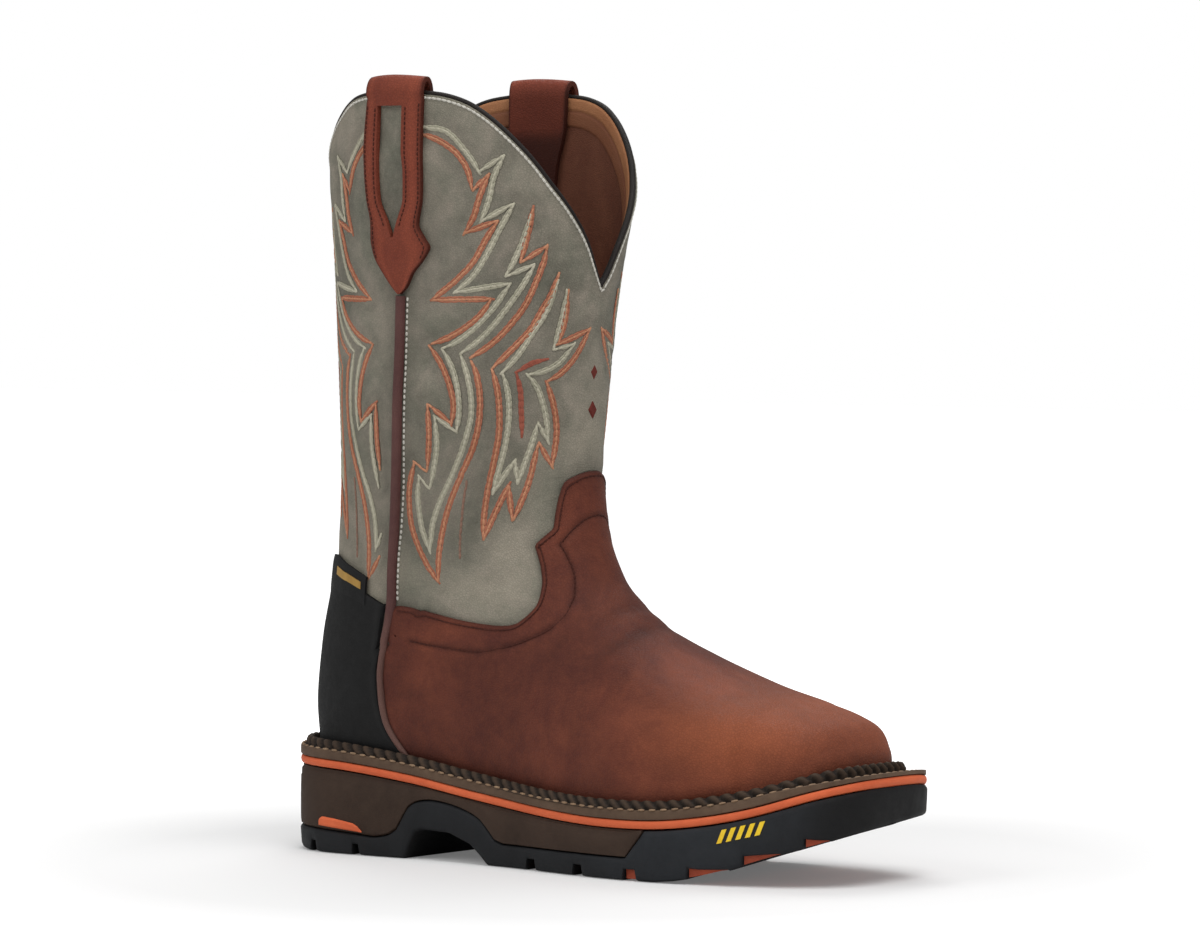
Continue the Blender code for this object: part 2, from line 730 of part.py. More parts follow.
def grooved(x, y):
    height = under_height(x, y)
    for rear, front, shallow in GROOVES:
        inside = (x >= rear + GROOVE_DRAFT - 0.01) & (x <= front - GROOVE_DRAFT + 0.01)
        depth = np.interp(x, (rear, front), (GROOVE_DEPTH, shallow))
        height = np.where(inside, height + depth, height)
    return height


def line_floor(x, y=0.0):
    return rise(x) - LINE_THICK


def line_roof(x, y=0.0):
    return rise(x)


def outsole_roof(x, y=0.0):
    full = line_floor(x) - GAP
    low = np.interp(x, OVER[:, 0], OVER[:, 1])
    ramp = np.clip((x - OVER[-1, 0]) / (TOE_CAP_X - OVER[-1, 0]), 0, 1)
    return np.minimum(low * (1 - ramp) + full * ramp, full)


def midsole_floor(x, y):
    return outsole_roof(x) + GAP


def midsole_roof(x, y):
    return line_floor(x) - GAP


def inlay_floor(x, y):
    return inlay_roof(x, y) - INLAY_THICK


def inlay_roof(x, y):
    return grooved(x, y) - GAP


def station_x(shares):
    return SOLE_HEEL_X + shares * (SOLE_TOE_X - SOLE_HEEL_X)


def add_sole(home):
    breaks = list(UNDER[1:-1, 0]) + list(OVER[1:, 0]) + [TOE_CAP_X - 1.0, TOE_CAP_X]
    for rear, front, _ in GROOVES:
        breaks += [rear, rear + GROOVE_DRAFT, front - GROOVE_DRAFT, front]
    sides = ((0.0, -0.4), (0.16, 0.4), (1.0, -0.4))
    add_layer("outsole", sole_shares(breaks), grooved, outsole_roof, sides, "black_rubber", home)

    shares = sole_shares(list(OVER[1:, 0]) + [TOE_CAP_X - 1.0])
    shares = shares[station_x(shares) <= TOE_CAP_X - 0.9]
    rim = ((0.0, -1.0), (0.14, -1.0), (0.2, 0.1), (1.0, 0.4))
    add_layer("midsole", shares, midsole_floor, midsole_roof, rim, "brown_rubber", home)

    edge = ((0.0, -0.6), (0.5, 0.0), (1.0, -0.6))
    add_layer("midsole_line", end_spaced(WELT_STATIONS), line_floor, line_roof, edge, "orange_rubber", home)

    lip = ((0.0, -1.2), (1.0, -1.2))
    for number, (rear, front, shallow) in enumerate(GROOVES):
        if rear > INLAY_FROM_X:
            start = rear + GROOVE_DRAFT + GAP
            stop = front - GROOVE_DRAFT - GAP if shallow == GROOVE_DEPTH else rear + INLAY_REACH * (front - rear)
            shares = (np.linspace(start, stop, 3) - SOLE_HEEL_X) / (SOLE_TOE_X - SOLE_HEEL_X)
            add_layer(f"tread_inlay_{number - 1}", shares, inlay_floor, inlay_roof, lip, "orange_rubber", home)


def add_accent(side, home):
    """Orange bar set on the heel block just above the pad."""
    shares = (np.linspace(30.0, 56.0, 7) - SOLE_HEEL_X) / (SOLE_TOE_X - SOLE_HEEL_X)
    low = np.array([9.4, 9.4, 9.4, 9.4, 9.4, 9.4, 9.4])
    high = np.array([15.2, 15.4, 15.6, 15.4, 14.4, 12.8, 11.0])
    grid = []
    for height in (low, high):
        grid.append(np.stack([station_x(shares), side * half_width(shares, side, 0.75), height], 1))
    quads = grid_quads(grid)
    add_shell(side_name("heel_accent", side), quads if side < 0 else flip(quads), 0.0, 1.0, "orange_rubber", home)


def side_name(name, side):
    return f"{name}_{'outer' if side < 0 else 'inner'}"


def add_insole(home):
    shares = end_spaced(30)
    heel_x = FOOT_HEEL_X + INSOLE_IN - FOOT_IN
    toe_x = FOOT_TOE_X - (INSOLE_IN - FOOT_IN)
    x = heel_x + (toe_x - heel_x) * shares
    quads = []
    rings = []
    for up in (INSOLE_LOW + GAP + INSOLE_THICK, INSOLE_LOW + GAP):
        outer = np.stack([x, -half_width(shares, -1, -INSOLE_IN), rise(x) + up], 1)
        inner = np.stack([x, half_width(shares, 1, -INSOLE_IN), rise(x) + up], 1)
        rings.append((outer, inner))
    (top_out, top_in), (low_out, low_in) = rings
    for i in range(len(shares) - 1):
        quads.append((top_out[i], top_out[i + 1], top_in[i + 1], top_in[i]))
        quads.append((low_out[i], low_in[i], low_in[i + 1], low_out[i + 1]))
        quads.append((top_out[i], low_out[i], low_out[i + 1], top_out[i + 1]))
        quads.append((top_in[i], top_in[i + 1], low_in[i + 1], low_in[i]))
    points, faces = weld(quads)
    add_solid("insole", points, faces, "insole_board", home)


def add_tab(home):
    """Band round the back over the counter's top edge."""
    shares = np.linspace(TAB_END, 1.0, 7)
    top = np.interp(shares, COUNTER_TOP[:, 0], COUNTER_TOP[:, 1])
    rows = np.stack([top - TAB_BELOW, top, top + TAB_ABOVE])
    quads = []
    for side in (-1, 1):
        grid = upper_points(rows, side * shares[None, :])
        quads += grid_quads(grid if side > 0 else grid[:, ::-1])
    add_shell("heel_tab", quads, COUNTER_HIGH + 0.5, COUNTER_HIGH + 1.5, "counter_leather", home)


def build():
    for old in list(bpy.data.objects):
        bpy.data.objects.remove(old, do_unlink=True)
    home = bpy.data.collections.new("square_toe_work_boot")
    bpy.context.scene.collection.children.link(home)
    add_shell("upper", upper_quads(), -WALL, 0.0, "shaft_leather", home)
    add_shell("vamp", vamp_quads(), SKIN_LOW, SKIN_HIGH, "vamp_leather", home)
    add_shell("counter", counter_quads(), COUNTER_LOW, COUNTER_HIGH, "counter_leather", home)
    add_tab(home)
    for side in (-1, 1):
        pipe = piping_quads(side)
        add_shell(side_name("side_piping", side), pipe, SKIN_LOW, PIPING_HIGH, "binding_leather", home)
        add_shell(side_name("pull_strap", side), strap_quads(side), 0.0, STRAP_THICK, "strap_leather", home)
        add_accent(side, home)
    add_ring("collar_binding", binding_loops(), "binding_leather", home)
    add_insole(home)
    add_ring("welt", welt_loops(), "welt_rubber", home)
    add_sole(home)


build()
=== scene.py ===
# Square toe work boot: leather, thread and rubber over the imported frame.
# Lengths in the settings are millimetres, x from the heel end of the sole, y to the inner side, z up.
import json
import math
import bpy
import numpy as np
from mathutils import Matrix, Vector, noise
from mathutils.kdtree import KDTree

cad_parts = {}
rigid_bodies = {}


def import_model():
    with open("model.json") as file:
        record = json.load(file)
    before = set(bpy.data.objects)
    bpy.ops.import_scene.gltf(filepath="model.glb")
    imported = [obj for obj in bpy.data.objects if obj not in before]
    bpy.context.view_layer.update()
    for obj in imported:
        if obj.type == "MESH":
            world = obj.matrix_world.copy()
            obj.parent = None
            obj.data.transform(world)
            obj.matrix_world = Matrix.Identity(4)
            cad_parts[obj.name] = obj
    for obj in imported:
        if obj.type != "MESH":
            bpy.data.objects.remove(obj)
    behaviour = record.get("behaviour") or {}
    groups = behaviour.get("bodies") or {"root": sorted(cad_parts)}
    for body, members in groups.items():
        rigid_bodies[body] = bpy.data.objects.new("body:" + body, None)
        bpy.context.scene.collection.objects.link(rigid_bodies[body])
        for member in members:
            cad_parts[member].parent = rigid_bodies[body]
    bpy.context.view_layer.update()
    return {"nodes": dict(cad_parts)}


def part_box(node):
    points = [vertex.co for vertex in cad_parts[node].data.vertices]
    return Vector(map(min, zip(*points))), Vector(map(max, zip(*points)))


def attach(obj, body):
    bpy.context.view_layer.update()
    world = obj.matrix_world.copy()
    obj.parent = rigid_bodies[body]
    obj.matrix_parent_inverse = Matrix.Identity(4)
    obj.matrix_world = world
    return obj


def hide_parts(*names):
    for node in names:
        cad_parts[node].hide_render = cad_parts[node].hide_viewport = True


for old in list(bpy.data.objects):
    bpy.data.objects.remove(old, do_unlink=True)
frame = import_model()
mm = 0.001
otherSide = np.array([1.0, -1.0, 1.0])  # mirrors points from one side of the boot to the other
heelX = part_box("outsole")[0].x / mm - 2.1  # the outsole starts 2.1 in front of the heel end
print("frame loaded:", len(frame["nodes"]), "nodes")

# The last: the form that every leather piece is laid on
lastForm = {
    "soleHeel": 2.5, "soleToe": 312.0,
    "heelRound": (0.125, 2.25), "toeRound": (0.86, 3.2),  # share of length, power
    "footHeel": 10.5, "footToe": 296.0, "footIn": 8.5, "footGap": 0.9,
    "corner": 0.829, "heelRow": 14, "samples": 48, "wall": 2.4,
    "backSeam": 0.9999,  # share round past which a point lies on the back seam
    "lowestRow": 6.0, "halvings": 24,  # search for the row at a height
    "leastBulge": 0.25, "nearBack": 0.97,
    # share of length, outer half width, inner half width
    "plan": np.array([
        (0.00, 36.0, 36.0), (0.14, 38.0, 38.0), (0.30, 38.5, 37.0), (0.45, 43.0, 38.0), (0.56, 50.5, 43.5),
        (0.64, 55.0, 49.5), (0.72, 56.0, 53.0), (0.82, 52.0, 52.5), (0.92, 45.0, 48.0), (1.00, 40.0, 44.0),
    ]),
    # x, height of the welt's underside
    "rise": np.array([
        (0, 42.0), (45, 40.5), (80, 37.0), (120, 31.5), (160, 27.3),
        (200, 25.5), (235, 26.6), (270, 32.5), (300, 41.5), (312, 45.0),
    ]),
    # front x and z, back x and z, outer and inner half width, belly, roundness, toe bow, lean of the ridge
    "rows": np.array([
        (296.0, 40.6, 296.0, 0.0, 0.0, 0.0, 0.45, 2.60, 9.0, 1.0),
        (295.7, 52.0, 296.0, 0.0, 0.0, 0.0, 0.45, 2.60, 9.0, 1.0),
        (293.2, 58.0, 294.5, 0.0, 0.0, 0.0, 0.45, 2.70, 8.8, 1.0),
        (288.2, 63.6, 290.0, 0.0, 0.0, 0.0, 0.45, 2.80, 7.8, 1.0),
        (277.0, 68.2, 280.0, 0.0, 0.0, 0.0, 0.43, 2.80, 5.5, 1.0),
        (259.3, 73.0, 262.0, 0.0, 43.0, 45.0, 0.42, 2.70, 3.0, 2.0),
        (234.0, 80.0, 234.0, 0.0, 49.2, 48.3, 0.40, 2.45, 1.0, 3.0),
        (206.8, 91.2, 202.0, 0.0, 49.5, 46.0, 0.38, 2.20, 0.0, 3.0),
        (181.5, 105.8, 164.0, 0.0, 43.5, 36.5, 0.36, 2.05, 0.0, 2.0),
        (163.0, 125.0, 118.0, 0.0, 37.0, 33.5, 0.38, 2.00, 0.0, 1.0),
        (156.6, 142.5, 78.0, 0.0, 35.5, 34.0, 0.40, 2.00, 0.0, 0.0),
        (155.2, 152.5, 46.0, 0.0, 35.5, 35.0, 0.42, 2.00, 0.0, 0.0),
        (154.7, 159.5, 24.0, 0.0, 36.5, 36.0, 0.43, 2.00, 0.0, 0.0),
        (154.4, 165.0, 13.5, 0.0, 37.0, 36.5, 0.44, 2.00, 0.0, 0.0),
        (154.2, 170.0, 10.5, 42.8, 37.5, 37.0, 0.45, 2.00, 0.0, 0.0),
        (154.1, 175.5, 9.3, 60.0, 38.5, 38.0, 0.46, 2.00, 0.0, 0.0),
        (153.9, 183.0, 12.8, 88.0, 40.5, 40.0, 0.48, 2.00, 0.0, 0.0),
        (153.8, 192.0, 19.5, 115.0, 43.0, 43.0, 0.49, 2.00, 0.0, 0.0),
        (153.9, 203.5, 23.2, 144.0, 46.0, 46.0, 0.50, 2.00, 0.0, 0.0),
        (154.6, 217.5, 24.6, 173.0, 48.5, 48.5, 0.50, 2.00, 0.0, 0.0),
        (156.6, 235.5, 24.0, 205.0, 50.0, 50.0, 0.50, 2.00, 0.0, 0.0),
        (161.2, 262.0, 22.5, 245.0, 51.5, 51.5, 0.50, 2.00, 0.0, 0.0),
        (168.8, 297.0, 19.6, 292.0, 52.5, 52.5, 0.50, 2.00, 0.0, 0.0),
        (176.5, 346.0, 17.8, 346.0, 53.5, 53.5, 0.50, 2.00, 0.0, 0.0),
    ]),
    # share round from the front ridge, height of the collar edge
    "collar": np.array([
        (0.000, 249.0), (0.020, 254.0), (0.066, 268.5), (0.124, 283.0), (0.174, 294.0), (0.222, 305.0),
        (0.268, 314.0), (0.312, 321.5), (0.358, 327.5), (0.406, 331.0), (0.480, 333.0), (0.620, 333.0),
        (0.690, 330.0), (0.750, 323.0), (0.804, 315.0), (0.858, 306.0), (0.930, 297.0), (1.000, 293.0),
    ]),
    # share round, section row down the side seam
    "seam": np.array([
        (0.511, 20.80), (0.514, 20.10), (0.524, 19.20), (0.532, 18.35), (0.544, 16.95), (0.545, 15.80),
        (0.549, 14.95), (0.566, 14.33), (0.578, 14.07), (0.602, 13.83), (0.636, 12.97), (0.688, 12.22),
        (0.736, 11.70), (0.796, 11.25), (0.850, 10.87), (0.890, 10.58), (0.918, 10.38), (0.970, 10.05),
    ]),
    "seamCorner": 6,
}


def hermite(xs, ys, slope, at):
    step = np.diff(xs)
    at = np.clip(at, xs[0], xs[-1])
    k = np.clip(np.searchsorted(xs, at, side="right") - 1, 0, len(xs) - 2)
    t = (at - xs[k]) / step[k]
    ends = ys[k] * (1 + 2 * t) * (1 - t) ** 2 + ys[k + 1] * t * t * (3 - 2 * t)
    return ends + step[k] * (slope[k] * t * (1 - t) ** 2 - slope[k + 1] * t * t * (1 - t))


def smoothCurve(xs, ys, at):
    return hermite(xs, ys, np.gradient(ys, xs), at)


def steadyCurve(xs, ys, at):
    # a cubic that never overshoots its table
    step = np.diff(xs)
    rate = np.diff(ys) / step
    slope = np.zeros(len(xs))
    slope[0] = rate[0]
    slope[-1] = rate[-1]
    before = 2 * step[1:] + step[:-1]
    after = step[1:] + 2 * step[:-1]
    same = rate[:-1] * rate[1:] > 0
    inner = np.zeros(len(xs) - 2)
    inner[same] = (before + after)[same] / (before[same] / rate[:-1][same] + after[same] / rate[1:][same])
    slope[1:-1] = inner
    return hermite(xs, ys, slope, at)


def softStep(low, high, at):
    t = np.clip((np.asarray(at, float) - low) / (high - low), 0, 1)
    return t * t * (3 - 2 * t)


def bell(at, width):
    return np.exp(-(np.asarray(at, float) / width) ** 2)


def fadeAt(at, amount, place, width):
    # an amount at a place, fading away over a width
    return amount * bell(at - place, width)


def runAlong(line):
    # distance from the start of a line to each of its points
    return np.concatenate([[0], np.linalg.norm(np.diff(line, axis=0), axis=1).cumsum()])


def riseAt(x):
    table = lastForm["rise"]
    return smoothCurve(table[:, 0], table[:, 1], x)


def halfWidth(share, side, grow):
    plan = lastForm["plan"]
    share = np.clip(share, 0.0, 1.0)
    sides = np.broadcast_to(np.asarray(side, float), share.shape)
    outer = smoothCurve(plan[:, 0], plan[:, 1], share)
    inner = smoothCurve(plan[:, 0], plan[:, 2], share)
    width = np.where(sides < 0, outer, inner) + grow
    heelShare, heelPower = lastForm["heelRound"]
    toeShare, toePower = lastForm["toeRound"]
    heel = np.clip(1 - share / heelShare, 0, 1)
    toe = np.clip((share - toeShare) / (1 - toeShare), 0, 1)
    heelFall = (1 - heel ** heelPower) ** (1 / heelPower)
    toeFall = (1 - toe ** toePower) ** (1 / toePower)
    return width * heelFall * toeFall


def footLine(x, side):
    share = (x - lastForm["footHeel"]) / (lastForm["footToe"] - lastForm["footHeel"])
    return halfWidth(share, side, -lastForm["footIn"])


def toeBow(across):
    p = lastForm["toeRound"][1]
    corner = lastForm["corner"]
    q = np.clip(np.abs(across), 0, 1) * corner
    return (1 - (1 - q ** p) ** (1 / p)) / (1 - (1 - corner ** p) ** (1 / p))


def halfSections(rows, side):
    # finely sampled half sections from the front ridge to the foot line or back seam
    table = lastForm["rows"]
    index = np.arange(len(table), dtype=float)
    cols = [steadyCurve(index, table[:, k], rows)[:, None] for k in range(table.shape[1])]
    frontX, frontZ, backX, backZ = cols[:4]
    width = cols[4] if side < 0 else cols[5]
    belly, power, bow, lean = cols[6:]
    foot = (rows < lastForm["heelRow"])[:, None]
    backZ = np.where(foot, riseAt(backX) + lastForm["footGap"], backZ)
    frontZ = np.maximum(frontZ, backZ)
    base = np.where(foot, footLine(backX - bow, side), 0.0)
    width = np.maximum(width, base + lastForm["leastBulge"])
    turn = np.linspace(0, np.pi / 2, lastForm["samples"])[None, :]
    highH = belly + (1 - belly) * np.cos(turn) ** (2 / power)
    highY = width * np.sin(turn) ** (2 / power)
    low = belly / np.sqrt(1 - (base / width) ** 2)
    down = np.linspace(0, 1, lastForm["samples"] + 1)[None, 1:] * np.arcsin(np.clip(belly / low, 0, 1))
    h = np.concatenate([highH, belly - low * np.sin(down)], 1)
    y = np.concatenate([highY, width * np.cos(down)], 1)
    x = backX + (frontX - backX) * h - bow * toeBow(y / np.maximum(base, 1e-6))
    z = backZ + (frontZ - backZ) * h
    z = z + np.where(foot, (riseAt(x) - riseAt(backX)) * (1 - h), 0.0)
    return np.stack([x, side * y + lean * h * h, z], -1)


def upperPoints(rows, rounds):
    # points of the upper's outer face at section rows and signed shares round, outer side negative
    rows, rounds = np.broadcast_arrays(np.asarray(rows, float), np.asarray(rounds, float))
    shape = rows.shape
    rows = rows.ravel()
    rounds = rounds.ravel()
    out = np.zeros((len(rows), 3))
    batch = 6000  # points handled at once
    for side in (-1, 1):
        mine = np.nonzero(rounds < 0 if side < 0 else rounds >= 0)[0]
        for start in range(0, len(mine), batch):
            part = mine[start:start + batch]
            levels, back = np.unique(rows[part], return_inverse=True)
            line = halfSections(levels, side)
            run = np.linalg.norm(np.diff(line, axis=1), axis=2).cumsum(1)
            run = np.concatenate([np.zeros((len(levels), 1)), run], 1)
            run = (run / run[:, -1:])[back]
            want = np.abs(rounds[part])
            k = np.clip((run <= want[:, None]).sum(1) - 1, 0, run.shape[1] - 2)
            n = np.arange(len(want))
            t = (want - run[n, k]) / np.maximum(run[n, k + 1] - run[n, k], 1e-9)
            out[part] = line[back, k] * (1 - t)[:, None] + line[back, k + 1] * t[:, None]
    return out.reshape(shape + (3,))


def unit(vectors):
    return vectors / np.maximum(np.linalg.norm(vectors, axis=-1, keepdims=True), 1e-9)


def upperNormals(rows, rounds):
    # outward directions of the upper's face
    step = 0.02
    rows, rounds = np.broadcast_arrays(np.asarray(rows, float), np.asarray(rounds, float))
    rounds = rounds - np.where(np.abs(rounds) > lastForm["nearBack"], np.sign(rounds) * step * 2, 0.0)
    up = upperPoints(rows + step, rounds) - upperPoints(rows - step, rounds)
    over = upperPoints(rows, rounds + step) - upperPoints(rows, rounds - step)
    return unit(np.cross(over, up))


def joinedNormals(rows, rounds):
    # the same, with both sides agreeing along the back seam
    normals = upperNormals(rows, rounds)
    normals[(np.abs(rounds) > lastForm["backSeam"]) & (rows >= lastForm["heelRow"])] = (-1.0, 0.0, 0.0)
    return normals


def rowsAtHeight(rounds, heights):
    # section row at which the upper reaches a height, by halving
    rounds = np.asarray(rounds, float)
    low = np.full(rounds.shape, lastForm["lowestRow"])
    high = np.full(rounds.shape, len(lastForm["rows"]) - 1.0)
    for _ in range(lastForm["halvings"]):
        mid = (low + high) / 2
        below = upperPoints(mid, rounds)[..., 2] < heights
        low = np.where(below, mid, low)
        high = np.where(below, high, mid)
    return (low + high) / 2


def collarHeights(rounds):
    table = lastForm["collar"]
    return smoothCurve(table[:, 0], table[:, 1], np.abs(rounds))


def collarRows(rounds):
    return rowsAtHeight(rounds, collarHeights(rounds))


def collarTop(rounds):
    # the collar's rows over a grid whose columns repeat
    columns = np.unique(np.round(rounds, 6))
    return np.interp(rounds, columns, collarRows(columns))


def bandRows(v, bands, top):
    # section rows up a sheet: fixed bands first, then evenly to its top edge
    start, row = bands[-1]
    low = np.interp(v, *zip(*bands))
    return np.where(v > start, row + (top - row) * (v - start) / (1 - start), low)


def roundEdge(gap, radius, least):
    # share of a sheet's thickness at a distance from its rounded edge
    return np.sqrt(np.clip(1 - (1 - np.clip(gap / radius, 0, 1)) ** 2, least, 1))


def sideName(stem, side):
    return stem + ("inner" if side > 0 else "outer")


def beside(rows, rounds, distance, steps=8):
    # a line moved sideways over the upper, to its left looking along it
    along = np.gradient(upperPoints(rows, rounds), axis=0)
    rowStep = 0.02
    roundStep = 0.01
    for _ in range(steps):
        byRow = upperPoints(rows + rowStep, rounds) - upperPoints(rows - rowStep, rounds)
        byRow = byRow / (2 * rowStep)
        byRound = upperPoints(rows, rounds + roundStep) - upperPoints(rows, rounds - roundStep)
        byRound = byRound / (2 * roundStep)
        across = unit(np.cross(np.cross(byRound, byRow), along)) * distance / steps
        a = (byRow * byRow).sum(1)
        b = (byRow * byRound).sum(1)
        c = (byRound * byRound).sum(1)
        p = (across * byRow).sum(1)
        q = (across * byRound).sum(1)
        rows = rows + (c * p - b * q) / (a * c - b * b)
        rounds = rounds + (a * q - b * p) / (a * c - b * b)
    return rows, rounds


def lineParts(points, sharp, spacing):
    # curves through charted points, one from each sharp point to the next
    points = np.asarray(points, float)
    cuts = [0] + [k for k in range(1, len(points) - 1) if sharp[k]] + [len(points) - 1]
    parts = []
    for a, b in zip(cuts, cuts[1:]):
        part = points[a:b + 1]
        run = runAlong(part)
        at = np.linspace(0, run[-1], max(3, int(run[-1] / spacing) + 1))
        if len(part) == 2:
            line = np.stack([np.interp(at, run, part[:, k]) for k in range(part.shape[1])], 1)
        else:
            line = np.stack([smoothCurve(run, part[:, k], at) for k in range(part.shape[1])], 1)
        parts.append(line)
    return parts


def roundedLine(points, sharp, spacing):
    # the same curves as one line
    parts = lineParts(points, sharp, spacing)
    return np.concatenate([part[:-1] for part in parts[:-1]] + parts[-1:])


def evenly(points, spacing, *others):
    # the same line at even spacing, with any other columns carried along
    run = runAlong(points)
    at = np.arange(spacing / 2, run[-1], spacing)
    moved = [np.stack([np.interp(at, run, points[:, k]) for k in range(3)], 1)]
    return moved + [np.interp(at, run, column) for column in others]


def nearest(points, line):
    # distance from each point to a line of closely spaced points
    tree = KDTree(len(line))
    for k, p in enumerate(line):
        tree.insert(p, k)
    tree.balance()
    return np.array([tree.find(p)[2] for p in points])


def rumple(points, size, seed):
    # soft uneven swelling of leather, between -1 and 1
    shift = Vector((seed * 7.3, seed * 3.1, seed * 5.7))
    return np.array([noise.noise(Vector(p) / size + shift) for p in points])


def toWorld(points):
    return (np.asarray(points, float) + np.array([heelX, 0.0, 0.0])) * mm


# Making and finishing pieces
def chosen(piece):
    bpy.ops.object.select_all(action="DESELECT")
    piece.select_set(True)
    bpy.context.view_layer.objects.active = piece


def inEdit(piece, *jobs):
    chosen(piece)
    bpy.ops.object.mode_set(mode="EDIT")
    bpy.ops.mesh.select_all(action="SELECT")
    for job in jobs:
        job()
    bpy.ops.object.mode_set(mode="OBJECT")


def mergeDoubles():
    bpy.ops.mesh.remove_doubles(threshold=0.00002)


def faceOut():
    bpy.ops.mesh.normals_make_consistent(inside=False)


def faceAbout():
    bpy.ops.mesh.flip_normals()


def addSheet(name, columns, rows, shape, joined=False):
    # a grid laid over a form: shape gets u and v, both 0 to 1, and returns points in millimetres
    bpy.ops.object.select_all(action="DESELECT")
    bpy.ops.mesh.primitive_grid_add(x_subdivisions=columns, y_subdivisions=rows, size=1.0)
    piece = bpy.context.object
    piece.name = name
    piece.data.name = name
    flat = np.zeros(len(piece.data.vertices) * 3)
    piece.data.vertices.foreach_get("co", flat)
    flat = flat.reshape(-1, 3) + 0.5
    points = toWorld(shape(flat[:, 0], flat[:, 1]))
    piece.data.vertices.foreach_set("co", points.ravel())
    piece.data.update()
    if joined:
        inEdit(piece, mergeDoubles)
    return piece


def addMesh(name, points, faces):
    mesh = bpy.data.meshes.new(name)
    mesh.from_pydata(toWorld(points).tolist(), [], faces)
    piece = bpy.data.objects.new(name, mesh)
    bpy.context.scene.collection.objects.link(piece)
    return piece


def setValues(piece, name, values):
    layer = piece.data.attributes.new(name, "FLOAT", "POINT")
    layer.data.foreach_set("value", np.asarray(values, np.float32))


def meshPoints(piece):
    flat = np.zeros(len(piece.data.vertices) * 3)
    piece.data.vertices.foreach_get("co", flat)
    return flat.reshape(-1, 3) / mm - np.array([heelX, 0.0, 0.0])


def thicken(piece, thickness):
    # a wall inward from the sheet
    chosen(piece)
    wall = piece.modifiers.new("wall", "SOLIDIFY")
    wall.thickness = thickness * mm
    wall.offset = -1.0
    bpy.ops.object.modifier_apply(modifier=wall.name)


def soften(piece, width, segments):
    chosen(piece)
    edge = piece.modifiers.new("edge", "BEVEL")
    edge.width = width * mm
    edge.segments = segments
    edge.limit_method = "ANGLE"
    edge.angle_limit = math.radians(40)
    bpy.ops.object.modifier_apply(modifier=edge.name)


def finishPiece(piece, slotName, material, *nodes):
    chosen(piece)
    piece.data.materials.clear()
    piece.data.materials.append(material)
    bpy.ops.object.shade_smooth_by_angle(angle=math.radians(50))
    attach(piece, "root")
    if nodes:
        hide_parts(*nodes)
    return piece


def threadStitch():
    # one stitch modelled once: a slim rounded bead along x
    bpy.ops.object.select_all(action="DESELECT")
    onItsSide = (0, math.pi / 2, 0)
    bpy.ops.mesh.primitive_uv_sphere_add(segments=6, ring_count=4, radius=1.0, rotation=onItsSide)
    bead = bpy.context.object
    bpy.ops.object.transform_apply(location=False, rotation=True, scale=False)
    points = np.array([v.co[:] for v in bead.data.vertices])
    faces = [list(f.vertices) for f in bead.data.polygons]
    bpy.data.objects.remove(bead, do_unlink=True)
    points[:, 0] = np.sign(points[:, 0]) * np.abs(points[:, 0]) ** 0.6
    return points, faces


stitchPoints, stitchFaces = threadStitch()


def threadKind(*values):
    # length, pitch, width, height, lift and swing of a stitch, and the seed of its swing
    return dict(zip(("length", "pitch", "width", "height", "lift", "swing", "seed"), values))


def laidStitches(line, normals, thread):
    # places for a row of stitches along a line of points already spaced at the thread's pitch
    along = unit(np.gradient(line, axis=0))
    across = unit(np.cross(normals, along))
    draw = np.random.default_rng(thread["seed"])
    swing = draw.normal(0, thread["swing"], len(line))[:, None]
    along = unit(along + across * swing)
    return line + normals * thread["lift"], along, across, normals


def addThread(name, rowsOfStitches, thread, material, slotName):
    count = len(stitchPoints)
    points = []
    faces = []
    for line, along, across, normals in rowsOfStitches:
        for p, a, c, n in zip(line, along, across, normals):
            base = len(points) * count
            points.append(p + stitchPoints[:, :1] * a * thread["length"] / 2
                          + stitchPoints[:, 1:2] * c * thread["width"] / 2
                          + stitchPoints[:, 2:] * n * thread["height"] / 2)
            faces.extend([[k + base for k in face] for face in stitchFaces])
    piece = addMesh(name, np.concatenate(points), faces)
    print(name, "stitches:", len(points))
    return finishPiece(piece, slotName, material)


# Colours and materials
def linearLight(level):
    part = level / 255
    return part / 12.92 if level <= 10 else ((part + 0.055) / 1.055) ** 2.4


def tint(red, green, blue):
    # a screen colour, 0 to 255, as the shader wants it
    return [linearLight(level) for level in (red, green, blue)] + [1.0]


def addNode(tree, kind, inputs=None, **settings):
    made = tree.nodes.new(kind)
    for key, value in settings.items():
        setattr(made, key, value)
    for key, value in (inputs or {}).items():
        if isinstance(value, bpy.types.NodeSocket):
            tree.links.new(value, made.inputs[key])
        else:
            made.inputs[key].default_value = value
    return made


def mixColour(tree, factor, first, second):
    made = addNode(tree, "ShaderNodeMix", {0: factor, 6: first, 7: second}, data_type="RGBA")
    return made.outputs[2]


def mathNode(tree, operation, first, second):
    return addNode(tree, "ShaderNodeMath", {0: first, 1: second}, operation=operation).outputs[0]


def vectorNode(tree, operation, inputs):
    return addNode(tree, "ShaderNodeVectorMath", inputs, operation=operation).outputs


def noiseNode(tree, vector, scale, detail, roughness=0.5, distortion=0.0):
    return addNode(tree, "ShaderNodeTexNoise", {
        "Vector": vector, "Scale": scale, "Detail": detail, "Roughness": roughness,
        "Distortion": distortion}).outputs


def attribute(tree, name):
    return addNode(tree, "ShaderNodeAttribute", attribute_name=name).outputs["Fac"]


def laidOver(tree, colour, mask, amount, over):
    # a colour laid over another by a share of a mask
    return mixColour(tree, mathNode(tree, "MULTIPLY", mask, amount), colour, tint(*over))


def addBump(tree, shader, height, strength, distance):
    made = addNode(tree, "ShaderNodeBump", {"Strength": strength, "Distance": distance, "Height": height})
    tree.links.new(made.outputs[0], shader.inputs["Normal"])


